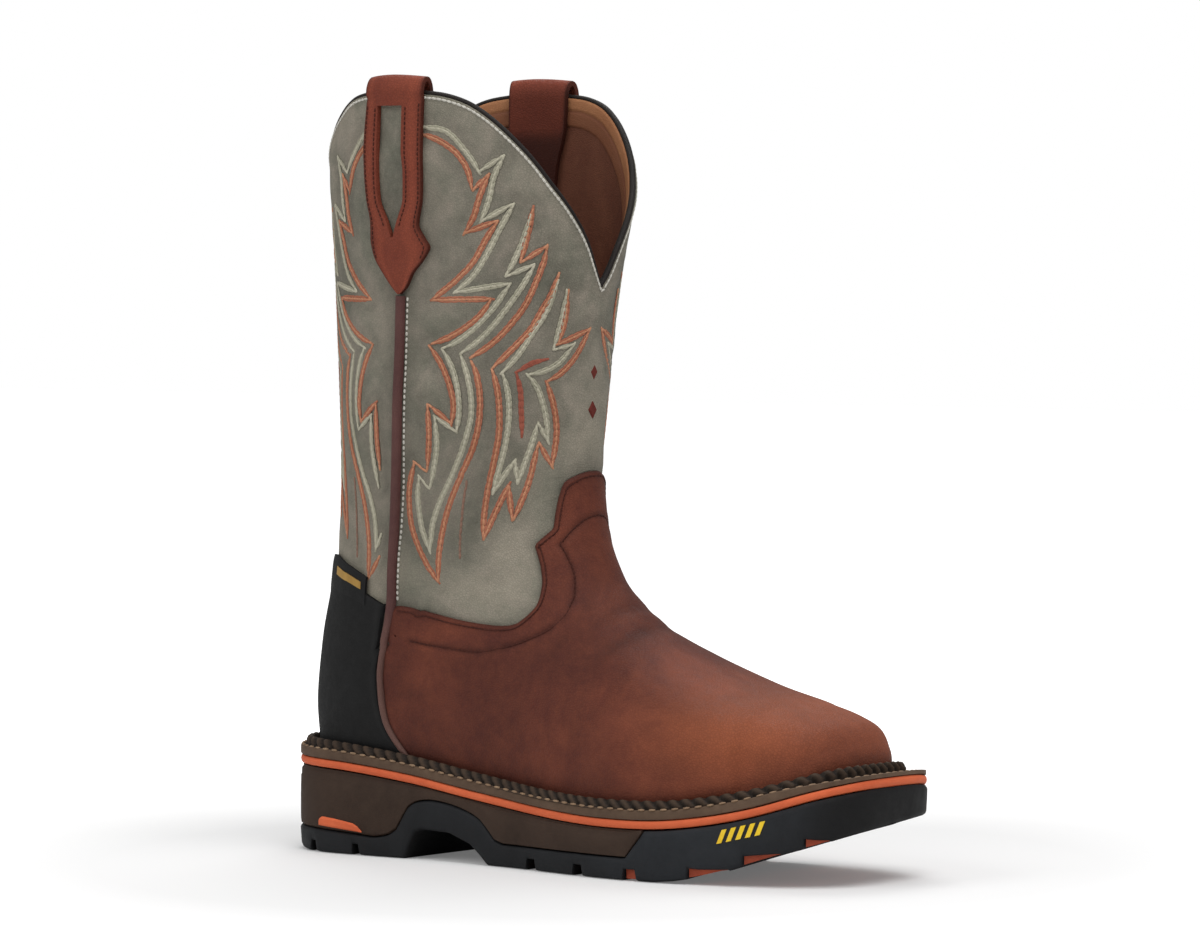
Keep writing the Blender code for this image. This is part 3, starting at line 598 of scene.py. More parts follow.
def spread(tree, value, low, high, toLow=0.0, toHigh=1.0):
    made = addNode(tree, "ShaderNodeMapRange", {0: value, 1: low, 2: high, 3: toLow, 4: toHigh})
    made.clamp = True
    return made.outputs[0]


def newGroup(name, inputs, outputs):
    group = bpy.data.node_groups.new(name, "ShaderNodeTree")
    for title, kind, value in inputs:
        made = group.interface.new_socket(title, in_out="INPUT", socket_type=kind)
        if value is not None:
            made.default_value = value
    for title, kind in outputs:
        group.interface.new_socket(title, in_out="OUTPUT", socket_type=kind)
    return group, group.nodes.new("NodeGroupInput"), group.nodes.new("NodeGroupOutput")


grainForm = {"wobbleScale": 260.0, "wobble": 0.0016, "crease": 0.22, "poreScale": 2400.0, "pores": 0.45}
mottleForm = {"fineScale": 190.0, "fine": (0.3, 0.7), "blotScale": 46.0, "blot": (0.36, 0.66),
              "aside": (0.7, 1.3, 0.4)}


def makeGrain():
    # pebbled hide: cells with soft creases between them, and fine pores
    group, given, result = newGroup(
        "leatherGrain",
        [("Vector", "NodeSocketVector", None), ("Cells", "NodeSocketFloat", 900.0)],
        [("Height", "NodeSocketFloat"), ("CellCreases", "NodeSocketFloat")])
    vector = given.outputs["Vector"]
    wobble = noiseNode(group, vector, grainForm["wobbleScale"], 2.0)["Color"]
    shift = vectorNode(group, "SUBTRACT", {0: wobble, 1: (0.5, 0.5, 0.5)})[0]
    small = vectorNode(group, "SCALE", {0: shift, "Scale": grainForm["wobble"]})[0]
    moved = vectorNode(group, "ADD", {0: vector, 1: small})[0]
    cells = addNode(group, "ShaderNodeTexVoronoi", {"Vector": moved, "Scale": given.outputs["Cells"]},
                    feature="DISTANCE_TO_EDGE")
    crease = spread(group, cells.outputs["Distance"], 0.0, grainForm["crease"])
    fine = noiseNode(group, vector, grainForm["poreScale"], 3.0, 0.6)["Fac"]
    soft = mathNode(group, "MULTIPLY", fine, grainForm["pores"])
    group.links.new(mathNode(group, "ADD", crease, soft), result.inputs["Height"])
    # darkest in the creases between the cells, for the colour to darken there
    group.links.new(mathNode(group, "SUBTRACT", 1.0, crease), result.inputs["CellCreases"])
    return group


def makeMottle():
    # cloudy patches at two sizes
    group, given, result = newGroup(
        "cloudyWear",
        [("Vector", "NodeSocketVector", None), ("Size", "NodeSocketFloat", 22.0),
         ("Contrast", "NodeSocketFloat", 0.18)],
        [("Mask", "NodeSocketFloat"), ("Fine", "NodeSocketFloat"), ("Tone", "NodeSocketFloat")])
    vector = given.outputs["Vector"]
    large = noiseNode(group, vector, given.outputs["Size"], 5.0, 0.62, 0.4)["Fac"]
    low = mathNode(group, "SUBTRACT", 0.5, given.outputs["Contrast"])
    high = mathNode(group, "ADD", 0.5, given.outputs["Contrast"])
    group.links.new(spread(group, large, low, high), result.inputs["Mask"])
    fine = noiseNode(group, vector, mottleForm["fineScale"], 6.0, 0.7)["Fac"]
    group.links.new(spread(group, fine, *mottleForm["fine"]), result.inputs["Fine"])
    aside = vectorNode(group, "ADD", {0: vector, 1: mottleForm["aside"]})[0]
    blot = noiseNode(group, aside, mottleForm["blotScale"], 4.0, 0.6, 0.8)["Fac"]
    group.links.new(spread(group, blot, *mottleForm["blot"]), result.inputs["Tone"])
    return group


grainGroup = makeGrain()
mottleGroup = makeMottle()


def startMaterial(name):
    material = bpy.data.materials.new(name)
    material.use_nodes = True
    tree = material.node_tree
    shader = tree.nodes["Principled BSDF"]
    coords = tree.nodes.new("ShaderNodeTexCoord").outputs["Object"]
    return material, tree, shader, coords


def cloudNode(tree, coords, size, contrast):
    return addNode(tree, "ShaderNodeGroup", {"Vector": coords, "Size": size, "Contrast": contrast},
                   node_tree=mottleGroup).outputs


def setRoughness(tree, shader, fine, look):
    low, high = (look["rough"] + change for change in look["uneven"])
    tree.links.new(spread(tree, fine, 0.0, 1.0, low, high), shader.inputs["Roughness"])


def leatherMaterial(name, look):
    material, tree, shader, coords = startMaterial(name)
    grain = addNode(tree, "ShaderNodeGroup", {"Vector": coords, "Cells": look["cells"]},
                    node_tree=grainGroup).outputs
    cloud = cloudNode(tree, coords, look["patch"], look["contrast"])
    colour = mixColour(tree, cloud["Mask"], tint(*look["dark"]), tint(*look["light"]))
    colour = laidOver(tree, colour, cloud["Tone"], look["blot"], look["tone"])
    colour = laidOver(tree, colour, cloud["Fine"], look["speckle"], look["fleck"])
    colour = laidOver(tree, colour, attribute(tree, "shade"), look["shade"], look["deep"])
    colour = laidOver(tree, colour, attribute(tree, "glow"), look["glow"], look["warm"])
    # darker in the creases between the grain's cells
    colour = laidOver(tree, colour, grain["CellCreases"], look["pores"], look["deep"])
    tree.links.new(colour, shader.inputs["Base Color"])
    setRoughness(tree, shader, cloud["Fine"], look)
    addBump(tree, shader, grain["Height"], look["bump"], look["relief"])
    shader.inputs["Specular IOR Level"].default_value = look["specular"]
    return material


def rubberMaterial(name, look):
    material, tree, shader, coords = startMaterial(name)
    cloud = cloudNode(tree, coords, look["patch"], look["contrast"])
    colour = mixColour(tree, cloud["Mask"], tint(*look["dark"]), tint(*look["light"]))
    colour = laidOver(tree, colour, cloud["Fine"], look["dust"], look["dustColour"])
    colour = laidOver(tree, colour, attribute(tree, "shade"), look["shade"], look["deep"])
    tree.links.new(colour, shader.inputs["Base Color"])
    setRoughness(tree, shader, cloud["Fine"], look)
    pebble = noiseNode(tree, coords, look["pebble"], 4.0, 0.65)["Fac"]
    addBump(tree, shader, pebble, look["bump"], look["relief"])
    shader.inputs["Specular IOR Level"].default_value = look["specular"]
    return material


def threadMaterial(name, look):
    material, tree, shader, coords = startMaterial(name)
    cloud = cloudNode(tree, coords, look["patch"], look["contrast"])
    colour = mixColour(tree, cloud["Mask"], tint(*look["dark"]), tint(*look["light"]))
    tree.links.new(colour, shader.inputs["Base Color"])
    twist = noiseNode(tree, coords, look["twist"], 2.0)["Fac"]
    addBump(tree, shader, twist, look["bump"], look["relief"])
    shader.inputs["Roughness"].default_value = look["rough"]
    shader.inputs["Specular IOR Level"].default_value = look["specular"]
    return material


def looksFrom(keys, rows, **shared):
    # a dictionary of settings for each named row of values, with those that all rows share
    return {name: dict(zip(keys, values), **shared) for name, values in rows.items()}


leatherLooks = looksFrom(
    ("dark", "light", "fleck", "deep", "warm", "tone", "patch", "contrast", "speckle", "blot", "shade",
     "glow", "pores", "cells", "rough", "bump", "specular"), {
        "shaft": ((102, 100, 89), (152, 143, 129), (170, 162, 147), (66, 64, 56), (172, 164, 146),
                  (98, 103, 88), 17.0, 0.1, 0.32, 0.6, 0.75, 0.3, 0.25, 950.0, 0.66, 0.35, 0.2),
        "vamp": ((90, 46, 36), (128, 68, 50), (144, 84, 62), (50, 25, 21), (172, 96, 60), (76, 36, 33),
                 15.0, 0.1, 0.26, 0.6, 0.8, 0.6, 0.22, 820.0, 0.58, 0.3, 0.14),
        "counter": ((17, 17, 17), (26, 26, 26), (36, 36, 36), (10, 10, 10), (52, 51, 50), (30, 30, 31),
                    20.0, 0.25, 0.2, 0.3, 0.8, 0.3, 0.15, 1500.0, 0.7, 0.22, 0.2),
        "strap": ((114, 54, 40), (140, 71, 53), (150, 82, 60), (34, 16, 12), (152, 77, 56), (112, 50, 39),
                  26.0, 0.2, 0.2, 0.4, 0.85, 0.5, 0.25, 900.0, 0.6, 0.32, 0.14),
        "piping": ((78, 48, 46), (102, 68, 63), (114, 82, 76), (36, 20, 18), (124, 96, 84), (84, 46, 46),
                   40.0, 0.2, 0.25, 0.4, 0.6, 0.5, 0.2, 1300.0, 0.58, 0.25, 0.22),
        "binding": ((22, 18, 16), (36, 30, 27), (52, 45, 41), (10, 8, 7), (60, 52, 46), (30, 24, 21),
                    40.0, 0.2, 0.2, 0.3, 0.6, 0.4, 0.2, 1300.0, 0.55, 0.25, 0.22),
        "lining": ((96, 57, 42), (130, 84, 63), (140, 95, 73), (40, 21, 16), (130, 88, 66), (92, 50, 40),
                   16.0, 0.2, 0.2, 0.4, 0.7, 0.5, 0.2, 1100.0, 0.7, 0.3, 0.18),
        "facing": ((154, 103, 69), (184, 130, 90), (196, 146, 104), (104, 60, 44), (196, 146, 104),
                   (160, 102, 66), 24.0, 0.2, 0.2, 0.4, 0.8, 0.4, 0.2, 1200.0, 0.6, 0.25, 0.2),
    }, uneven=(-0.07, 0.09), relief=0.0004)
rubberLooks = looksFrom(
    ("dark", "light", "dustColour", "dust", "patch", "rough", "pebble", "bump", "specular"), {
        "welt": ((74, 57, 45), (98, 78, 62), (140, 118, 98), 0.2, 30.0, 0.66, 1500.0, 0.3, 0.2),
        "orange": ((198, 88, 52), (224, 108, 66), (230, 136, 98), 0.16, 34.0, 0.6, 1800.0, 0.18, 0.2),
        # a darker copy of the orange rubber for the groove inlays: painted shade, as they lie down in the
        # grooves
        "rust": ((138, 58, 40), (172, 78, 52), (186, 104, 78), 0.16, 34.0, 0.6, 1800.0, 0.18, 0.2),
        "brown": ((46, 34, 27), (66, 51, 42), (94, 79, 68), 0.16, 26.0, 0.68, 1300.0, 0.35, 0.15),
        "black": ((24, 26, 29), (42, 45, 49), (74, 76, 80), 0.12, 28.0, 0.62, 1400.0, 0.3, 0.2),
        "yellow": ((236, 190, 20), (252, 214, 44), (255, 232, 120), 0.15, 60.0, 0.5, 1800.0, 0.15, 0.3),
        "gold": ((150, 112, 46), (184, 144, 70), (200, 168, 98), 0.2, 80.0, 0.5, 2400.0, 0.3, 0.3),
    }, contrast=0.22, shade=0.9, deep=(14, 11, 9), uneven=(-0.06, 0.1), relief=0.0003)
threadLooks = looksFrom(
    ("dark", "light"), {
        "orange": ((178, 122, 92), (200, 144, 112)),
        # darker copies of the orange and pale threads for the outer rows of each flame: painted shade at the
        # band's sides
        "orangeInShade": ((152, 94, 72), (176, 114, 90)),
        "paleInShade": ((150, 147, 128), (174, 169, 150)),
        "pale": ((172, 168, 148), (196, 190, 170)),
        "red": ((140, 76, 62), (166, 96, 78)),
        "rust": ((126, 100, 86), (146, 114, 98)),
        "maroon": ((92, 38, 32), (116, 52, 44)),
        "brown": ((58, 28, 22), (80, 41, 32)),
        "white": ((186, 183, 173), (212, 208, 198)),
        "tan": ((128, 104, 82), (158, 132, 106)),
    }, patch=60.0, contrast=0.25, twist=2600.0, bump=0.5, relief=0.0003, rough=0.7, specular=0.15)
leatherOf = {key: leatherMaterial(key + "Leather", look) for key, look in leatherLooks.items()}
rubberOf = {key: rubberMaterial(key + "Rubber", look) for key, look in rubberLooks.items()}
threadOf = {key: threadMaterial(key + "Thread", look) for key, look in threadLooks.items()}
print("materials:", len(leatherOf) + len(rubberOf) + len(threadOf))

# Flame stitching, charted as share round from the front ridge, height, 1 at a sharp turn
flames = {
    "girth": 330.0, "seamShare": 0.522, "lowest": 121.0, "behindStrap": 0.596,
    "archOrange": [
        (0.476, 315.7, 0), (0.462, 315.2, 0), (0.418, 311.9, 0), (0.378, 306.2, 0), (0.356, 300.0, 0),
        (0.342, 291.2, 1), (0.306, 298.7, 1), (0.324, 289.3, 0), (0.336, 279.7, 0), (0.354, 273.0, 1),
        (0.278, 278.5, 1), (0.302, 270.7, 0), (0.326, 261.4, 0), (0.362, 253.8, 0), (0.428, 244.2, 1),
        (0.280, 244.7, 1), (0.298, 239.3, 0), (0.338, 232.7, 0), (0.386, 227.7, 0), (0.434, 224.8, 1),
        (0.400, 216.4, 0), (0.376, 206.8, 0), (0.366, 198.0, 0), (0.372, 190.7, 1), (0.438, 199.3, 1),
        (0.436, 184.3, 0), (0.444, 169.5, 1), (0.482, 173.8, 1), (0.500, 161.8, 0), (0.497, 150.8, 0),
        (0.468, 138.6, 0), (0.432, 128.3, 0), (0.406, 121.6, 1), (0.399, 132.4, 0), (0.390, 142.6, 0),
        (0.370, 156.5, 0), (0.342, 169.0, 0), (0.314, 180.1, 0), (0.298, 192.8, 0), (0.300, 205.8, 0),
        (0.312, 214.3, 0), (0.326, 219.1, 1), (0.270, 225.9, 0), (0.232, 233.3, 0), (0.198, 242.6, 0),
        (0.178, 252.7, 0), (0.165, 262.0, 0), (0.162, 267.6, 1), (0.220, 260.2, 1), (0.210, 272.0, 0),
        (0.204, 283.7, 1),
    ],
    "archCream": [
        (0.476, 319.2, 0), (0.462, 318.7, 0), (0.406, 316.3, 0), (0.370, 309.6, 0), (0.340, 302.4, 0),
        (0.330, 299.3, 1), (0.276, 306.6, 1), (0.296, 297.3, 0), (0.304, 286.7, 0), (0.318, 278.0, 1),
        (0.246, 285.9, 1), (0.272, 275.4, 0), (0.294, 265.5, 0), (0.324, 255.3, 0), (0.370, 247.5, 1),
        (0.238, 251.4, 1), (0.274, 240.9, 0), (0.318, 232.0, 0), (0.364, 225.9, 0), (0.398, 223.2, 1),
        (0.374, 216.1, 0), (0.356, 205.7, 0), (0.352, 195.2, 0), (0.358, 187.1, 1), (0.418, 193.9, 1),
        (0.414, 181.5, 0), (0.426, 169.0, 0), (0.436, 162.0, 1), (0.468, 167.5, 1), (0.473, 159.2, 0),
        (0.460, 148.1, 0), (0.426, 134.8, 1), (0.418, 148.1, 0), (0.402, 156.6, 0), (0.368, 168.8, 0),
        (0.338, 181.7, 0), (0.319, 195.6, 0), (0.321, 203.2, 0), (0.330, 211.0, 0), (0.350, 221.1, 1),
        (0.308, 226.4, 0), (0.272, 233.2, 0), (0.236, 242.5, 0), (0.208, 251.0, 0), (0.186, 259.7, 1),
        (0.252, 254.2, 1), (0.232, 262.1, 0), (0.216, 272.0, 0), (0.207, 282.0, 1),
    ],
    "wingOrange": [
        (0.126, 256.1, 1), (0.140, 246.7, 0), (0.158, 240.0, 0), (0.180, 232.1, 0), (0.212, 225.2, 0),
        (0.242, 219.6, 0), (0.270, 214.7, 1), (0.256, 206.8, 0), (0.248, 198.1, 0), (0.246, 187.0, 0),
        (0.256, 173.0, 0), (0.268, 156.7, 0), (0.276, 140.1, 1), (0.236, 154.0, 0), (0.208, 164.4, 1),
        (0.198, 148.0, 1), (0.158, 165.1, 0), (0.142, 182.9, 1), (0.102, 172.1, 1), (0.099, 187.2, 0),
        (0.110, 197.7, 0), (0.122, 204.0, 0), (0.134, 208.9, 1), (0.098, 212.6, 0), (0.062, 219.3, 0),
        (0.022, 231.7, 1), (0.110, 225.2, 1), (0.098, 235.7, 0), (0.098, 247.8, 1),
    ],
    "wingCream": [
        (0.126, 253.1, 1), (0.148, 239.0, 0), (0.178, 229.6, 0), (0.200, 222.6, 0), (0.226, 216.4, 0),
        (0.244, 213.0, 1), (0.230, 205.9, 0), (0.223, 197.5, 0), (0.225, 185.7, 0), (0.236, 173.5, 0),
        (0.252, 159.9, 1), (0.218, 169.6, 0), (0.198, 175.0, 1), (0.186, 164.5, 1), (0.162, 180.1, 0),
        (0.148, 191.2, 1), (0.118, 182.9, 1), (0.130, 194.5, 0), (0.140, 200.0, 0), (0.156, 206.5, 0),
        (0.182, 212.0, 1), (0.148, 213.2, 0), (0.106, 216.9, 0), (0.066, 225.2, 1), (0.122, 222.7, 1),
        (0.106, 237.1, 0), (0.102, 248.2, 1),
    ],
    "heart": [
        (0.132, 218.9, 0), (0.174, 216.8, 0), (0.210, 213.1, 1), (0.198, 205.9, 0), (0.192, 196.0, 0),
        (0.186, 184.9, 1),
    ],
    "tail": [(0.326, 166.0, 0), (0.330, 158.9, 0), (0.335, 145.6, 0), (0.341, 132.0, 1)],
    # thread colour and place across the flame of each row of stitches; the darker threads of the outer rows
    # are painted shade at the band's sides
    "sewn": {
        "archOrange": (("orangeInShade", -0.95), ("orange", 0.0), ("orangeInShade", 0.95)),
        "archCream": (("paleInShade", -0.85), ("pale", 0.0), ("paleInShade", 0.85)),
        "wingOrange": (("orangeInShade", -0.95), ("orange", 0.0), ("orangeInShade", 0.95)),
        "wingCream": (("paleInShade", -0.85), ("pale", 0.0), ("paleInShade", 0.85)),
        "heart": (("red", -0.7), ("red", 0.0), ("red", 0.7)), "tail": (("rust", 0.0),),
    },
    "core": threadKind(3.3, 2.7, 1.25, 0.8, -0.12, 0.05, 3), "coreColours": ("orange", "pale", "rust"),
    "edge": threadKind(3.8, 3.2, 1.1, 0.75, -0.18, 0.05, 4),
    "spacing": 1.2, "backEnd": 0.985, "taper": 5.0,
    "diamonds": (213.0, 196.5), "diamondTall": 4.2, "diamondWide": 0.0165, "diamondPad": 0.9,
    "diamondLow": 0.1, "diamondGrid": 12,
}


def flameLines():
    # every flame on the four panels: the front one as charted, the rear one mirrored at the side seam
    lines = []
    for key in flames["sewn"]:
        chart = np.array(flames[key])
        flat = np.stack([chart[:, 0] * flames["girth"], chart[:, 1]], 1)
        for part in lineParts(flat, chart[:, 2] > 0, flames["spacing"]):
            share = part[:, 0] / flames["girth"]
            for mirrored in (False, True):
                shares = 2 * flames["seamShare"] - share if mirrored else share
                keep = (shares < flames["backEnd"]) & (part[:, 1] > (flames["lowest"] if mirrored else 0))
                if key.startswith("arch") and mirrored:
                    keep &= shares > flames["behindStrap"]
                if keep.sum() < 3:
                    continue
                rows = rowsAtHeight(shares, part[:, 1])
                for side in (-1, 1):
                    lines.append((key, rows[keep], side * shares[keep]))
    return lines


flamePaths = flameLines()
flameCloud = np.concatenate([upperPoints(rows, rounds) for key, rows, rounds in flamePaths])
print("flame lines charted:", len(flamePaths))

# Lines that several pieces share: the side seam and the vamp's edges
vampPiece = {
    "columns": 300, "rows": 118, "edgeSteps": 3000, "thick": 1.5, "wall": 1.2, "edgeRadius": 1.3,
    "clear": 1.0, "footRow": 9.72,
    # the groove under the sewn line and the plump leather beside it: amount, distance, width
    "groove": (0.35, 0.0, 1.3), "plump": (0.2, 2.6, 1.6),
    "rumple": 0.4, "rumpleSize": 30.0,
    # shade along the edge, the sewn line, the welt, the flex and the heel: amount, place, width
    "edgeShade": (0.6, 0.0, 1.2), "lineShade": (0.5, 0.0, 1.3), "foldShade": 0.7,
    "weltShade": (0.36, 6.0, 8.0),
    "flexShade": (0.42, 182.0, 34.0), "flexAbove": (62.0, 100.0), "heelShade": (0.3, 60.0, 60.0),
    "toeGlow": (0.85, 258.0, 40.0), "glowHeight": (62.0, 20.0),
    "girth": 330.0, "rowHeight": 20.0,  # rough sizes, to run the sewn line at even steps
    # part of the columns, share round that they reach: closer together where the edge climbs
    "spacing": np.array([(0.0, 0.0), (0.40, 0.43), (0.47, 0.466), (0.56, 0.480), (0.65, 0.56), (1.0, 1.0)]),
    "bands": ((0.0, 0.0), (0.34, 4.0), (0.74, 9.0)),
    # share round, section row of the upper edge from the front ridge to the side seam
    "edge": np.array([
        (0.000, 14.00), (0.024, 14.05), (0.058, 14.08), (0.078, 13.95), (0.090, 13.30), (0.106, 12.32),
        (0.134, 11.30), (0.190, 11.27), (0.200, 10.80), (0.214, 10.32), (0.248, 9.80), (0.312, 9.57),
        (0.383, 9.67), (0.406, 9.79), (0.425, 10.00), (0.438, 10.25), (0.448, 10.53), (0.4563, 10.85),
        (0.4629, 11.21), (0.4668, 11.61), (0.4698, 12.10), (0.4712, 12.62), (0.4722, 13.21), (0.4734, 13.94),
        (0.4785, 14.03), (0.495, 14.27), (0.510, 14.50), (0.524, 14.70), (0.539, 14.84), (0.547, 14.88),
    ]),
    # share round, section row of the sewn line inside the border, 1 at a sharp turn
    "inner": np.array([
        (0.000, 10.80, 0), (0.032, 10.77, 0), (0.086, 10.60, 0), (0.136, 10.38, 1), (0.134, 9.90, 0),
        (0.140, 9.50, 0), (0.174, 9.13, 0), (0.230, 8.93, 0), (0.310, 8.93, 0), (0.406, 9.23, 0),
        (0.480, 9.62, 0), (0.530, 10.10, 0), (0.556, 11.00, 0), (0.566, 12.30, 0),
    ]),
    # share round, section row of the toe cap's soft rear edge
    "cap": np.array([(0.0, 6.60), (0.15, 6.55), (0.37, 6.75), (0.49, 7.10), (0.75, 7.60), (1.0, 7.9)]),
    "creaseBow": 0.25, "creaseRoll": 0.5, "calmEdge": (2.0, 8.0), "footLift": (0.9, 5.0),
    "capStep": 0.45, "capSides": (0.45, 0.72), "capSlope": (-0.5, 0.55), "capToe": (1.5, 4.5),
    # share where it starts, share where it ends, section row, depth, width in rows
    "creases": ((-0.46, 0.30, 7.75, 0.5, 0.13), (-0.36, 0.36, 8.25, 0.4, 0.11),
                (-0.5, -0.08, 8.62, 0.35, 0.09), (-0.62, -0.3, 7.3, 0.3, 0.12)),
}


def seamPath(count):
    seam = lastForm["seam"]
    line = upperPoints(seam[:, 1], seam[:, 0])
    run = runAlong(line)
    at = np.linspace(0, run[-1], count)
    points = np.stack([smoothCurve(run, line[:, k], at) for k in range(3)], 1)
    return points, np.interp(at, run, seam[:, 1]), np.interp(at, run, seam[:, 0])


def vampEdge():
    seam = lastForm["seam"][lastForm["seamCorner"] + 1:]
    rows, shares = beside(seam[:, 1], seam[:, 0], -vampPiece["clear"])
    edge = vampPiece["edge"]
    shares = np.concatenate([edge[:, 0], shares, [1.0]])
    rows = np.concatenate([edge[:, 1], rows, [vampPiece["footRow"]]])
    return shares, rows


def vampTop(rounds):
    return steadyCurve(vampShares, vampEdgeRows, np.abs(rounds))


def vampRounds(even):
    # signed shares round for even steps from -1 to 1, closer together where the edge climbs
    spacing = vampPiece["spacing"]
    return np.sign(even) * np.interp(np.abs(even), spacing[:, 0], spacing[:, 1])


def vampLines():
    rounds = vampRounds(np.linspace(-1, 1, vampPiece["edgeSteps"]))
    return vampTop(rounds), rounds


def vampInner():
    # section rows and signed shares of the border line from the outer side round to the inner one
    chart = vampPiece["inner"]
    size = np.array([vampPiece["girth"], vampPiece["rowHeight"]])
    shares, rows = (roundedLine(chart[:, :2] * size, chart[:, 2] > 0, 1.0) / size).T
    return np.concatenate([rows[:0:-1], rows]), np.concatenate([-shares[:0:-1], shares])


vampShares, vampEdgeRows = vampEdge()
vampRim = upperPoints(*vampLines())
vampBorder = upperPoints(*vampInner())

# Shaft leather: the whole upper as one wall, quilted along its flames
shaftPiece = {
    "columns": 220, "rows": 176, "seamSteps": 300, "wall": 1.3,
    "bands": ((0.0, 0.0), (0.12, 9.0), (0.36, 14.0)),
    "trough": (0.45, 0.0, 1.9), "puff": 0.5, "puffNear": (2.0, 9.0), "puffFar": (11.0, 26.0),
    "sway": 0.55, "swaySize": 34.0, "underVamp": -0.2, "besideVamp": 6.0,
    # heights between which the leather lies flat, in front and behind the side seam
    "calm": (90.0, 125.0), "calmBehind": (116.0, 150.0), "behind": 0.53,
    # shade beside the flames, the side seam and the vamp: amount, distance, width
    "flameShade": (0.3, 3.4, 2.4), "seamShade": (0.45, 3.0, 7.0), "edgeShade": (0.5, 0.0, 2.2),
    "archShade": (0.4, 0.46, 0.1), "archHeight": (280.0, 26.0), "edgeGlow": (1.0, 14.0, 10.0),
}


def shaftSwell(points, rows, rounds):
    # how far the leather rises or sinks: puffed between the flames, drawn in along them, flat under overlays
    gap = nearest(points, flameCloud)
    puffed = softStep(*shaftPiece["puffNear"], gap) - softStep(*shaftPiece["puffFar"], gap)
    swell = shaftPiece["puff"] * puffed
    swell = swell - fadeAt(gap, *shaftPiece["trough"])
    swell = swell + shaftPiece["sway"] * rumple(points, shaftPiece["swaySize"], 1)
    swell = swell * softStep(*shaftPiece["calm"], points[:, 2])
    vampGap = nearest(points, vampRim)
    beyond = swell * softStep(0.0, shaftPiece["besideVamp"], vampGap)
    swell = np.where(rows < vampTop(rounds), shaftPiece["underVamp"], beyond)
    behind = np.abs(rounds) > shaftPiece["behind"]
    shaftPiece["vampGap"] = vampGap
    shaftPiece["gap"] = gap
    return np.where(behind, swell * softStep(*shaftPiece["calmBehind"], points[:, 2]), swell)


def shaftShape(u, v):
    rounds = 2 * u - 1
    rows = bandRows(v, shaftPiece["bands"], collarTop(rounds))
    points = upperPoints(rows, rounds)
    swell = shaftSwell(points, rows, rounds)
    swell[np.abs(rounds) > lastForm["backSeam"]] = 0.0
    arch = fadeAt(np.abs(rounds), *shaftPiece["archShade"])
    shaftPiece["arch"] = arch * fadeAt(points[:, 2], 1.0, *shaftPiece["archHeight"])
    seam = seamPath(shaftPiece["seamSteps"])[0]
    shaftPiece["seamGap"] = np.where(rounds < 0, nearest(points * otherSide, seam), nearest(points, seam))
    return points + joinedNormals(rows, rounds) * swell[:, None]


def makeShaft():
    piece = addSheet("shaft_leather", shaftPiece["columns"], shaftPiece["rows"], shaftShape)
    foot = shaftPiece["vampGap"]
    shade = fadeAt(shaftPiece["gap"], *shaftPiece["flameShade"])
    shade = shade + fadeAt(shaftPiece["seamGap"], *shaftPiece["seamShade"])
    shade = shade + fadeAt(foot, *shaftPiece["edgeShade"]) + shaftPiece["arch"]
    setValues(piece, "shade", np.clip(shade, 0, 1))
    setValues(piece, "glow", fadeAt(foot, *shaftPiece["edgeGlow"]))
    inEdit(piece, mergeDoubles)
    thicken(piece, shaftPiece["wall"])
    finishPiece(piece, "shaft_leather", leatherOf["shaft"], "upper")


makeShaft()
print("shaft laid")


def threadRows(rows, rounds, thread, offset=0.0, lift=0.0, taper=0.0):
    # a row of stitches beside a line on the upper; lift is a height or gives one for each stitch
    points = upperPoints(rows, rounds)
    points, rows, rounds = evenly(points, thread["pitch"], rows, rounds)
    if len(points) < 3:
        return []
    normals = upperNormals(rows, rounds)
    across = unit(np.cross(normals, unit(np.gradient(points, axis=0))))
    if taper:
        run = np.arange(len(points)) * thread["pitch"]
        lead = 0.6  # so that the rows don't quite meet at their tips
        offset = (offset * np.clip((np.minimum(run, run[-1] - run) + lead) / taper, 0, 1))[:, None]
    if callable(lift):
        lift = lift(points, rows, rounds)[:, None]
    return [laidStitches(points + across * offset + normals * lift, normals, thread)]


def makeFlames():
    for colour in ("orange", "orangeInShade", "paleInShade", "pale", "red", "rust"):
        stitched = []
        kind = flames["core" if colour in flames["coreColours"] else "edge"]
        for key, rows, rounds in flamePaths:
            for threadName, offset in flames["sewn"][key]:
                if threadName == colour:
                    stitched += threadRows(rows, rounds, kind, offset, taper=flames["taper"])
        addThread("flame_stitches_" + colour, stitched, kind, threadOf[colour], "shaft_leather")


def makeDiamond(number, height):
    # a small padded diamond on the front ridge
    def shape(u, v):
        sideways = u + v - 1
        upward = v - u
        rounds = sideways * flames["diamondWide"]
        rows = rowsAtHeight(rounds, height + upward * flames["diamondTall"])
        inward = 1 - np.abs(sideways) - np.abs(upward)
        pad = flames["diamondPad"] * np.clip(inward * 4, 0, 1)
        return upperPoints(rows, rounds) + upperNormals(rows, rounds) * (pad - flames["diamondLow"])[:, None]

    piece = addSheet("ridge_diamond_" + str(number), flames["diamondGrid"], flames["diamondGrid"], shape)
    finishPiece(piece, "shaft_leather", threadOf["maroon"])


makeFlames()
for number, height in enumerate(flames["diamonds"]):
    makeDiamond(number, height)
print("flames sewn")


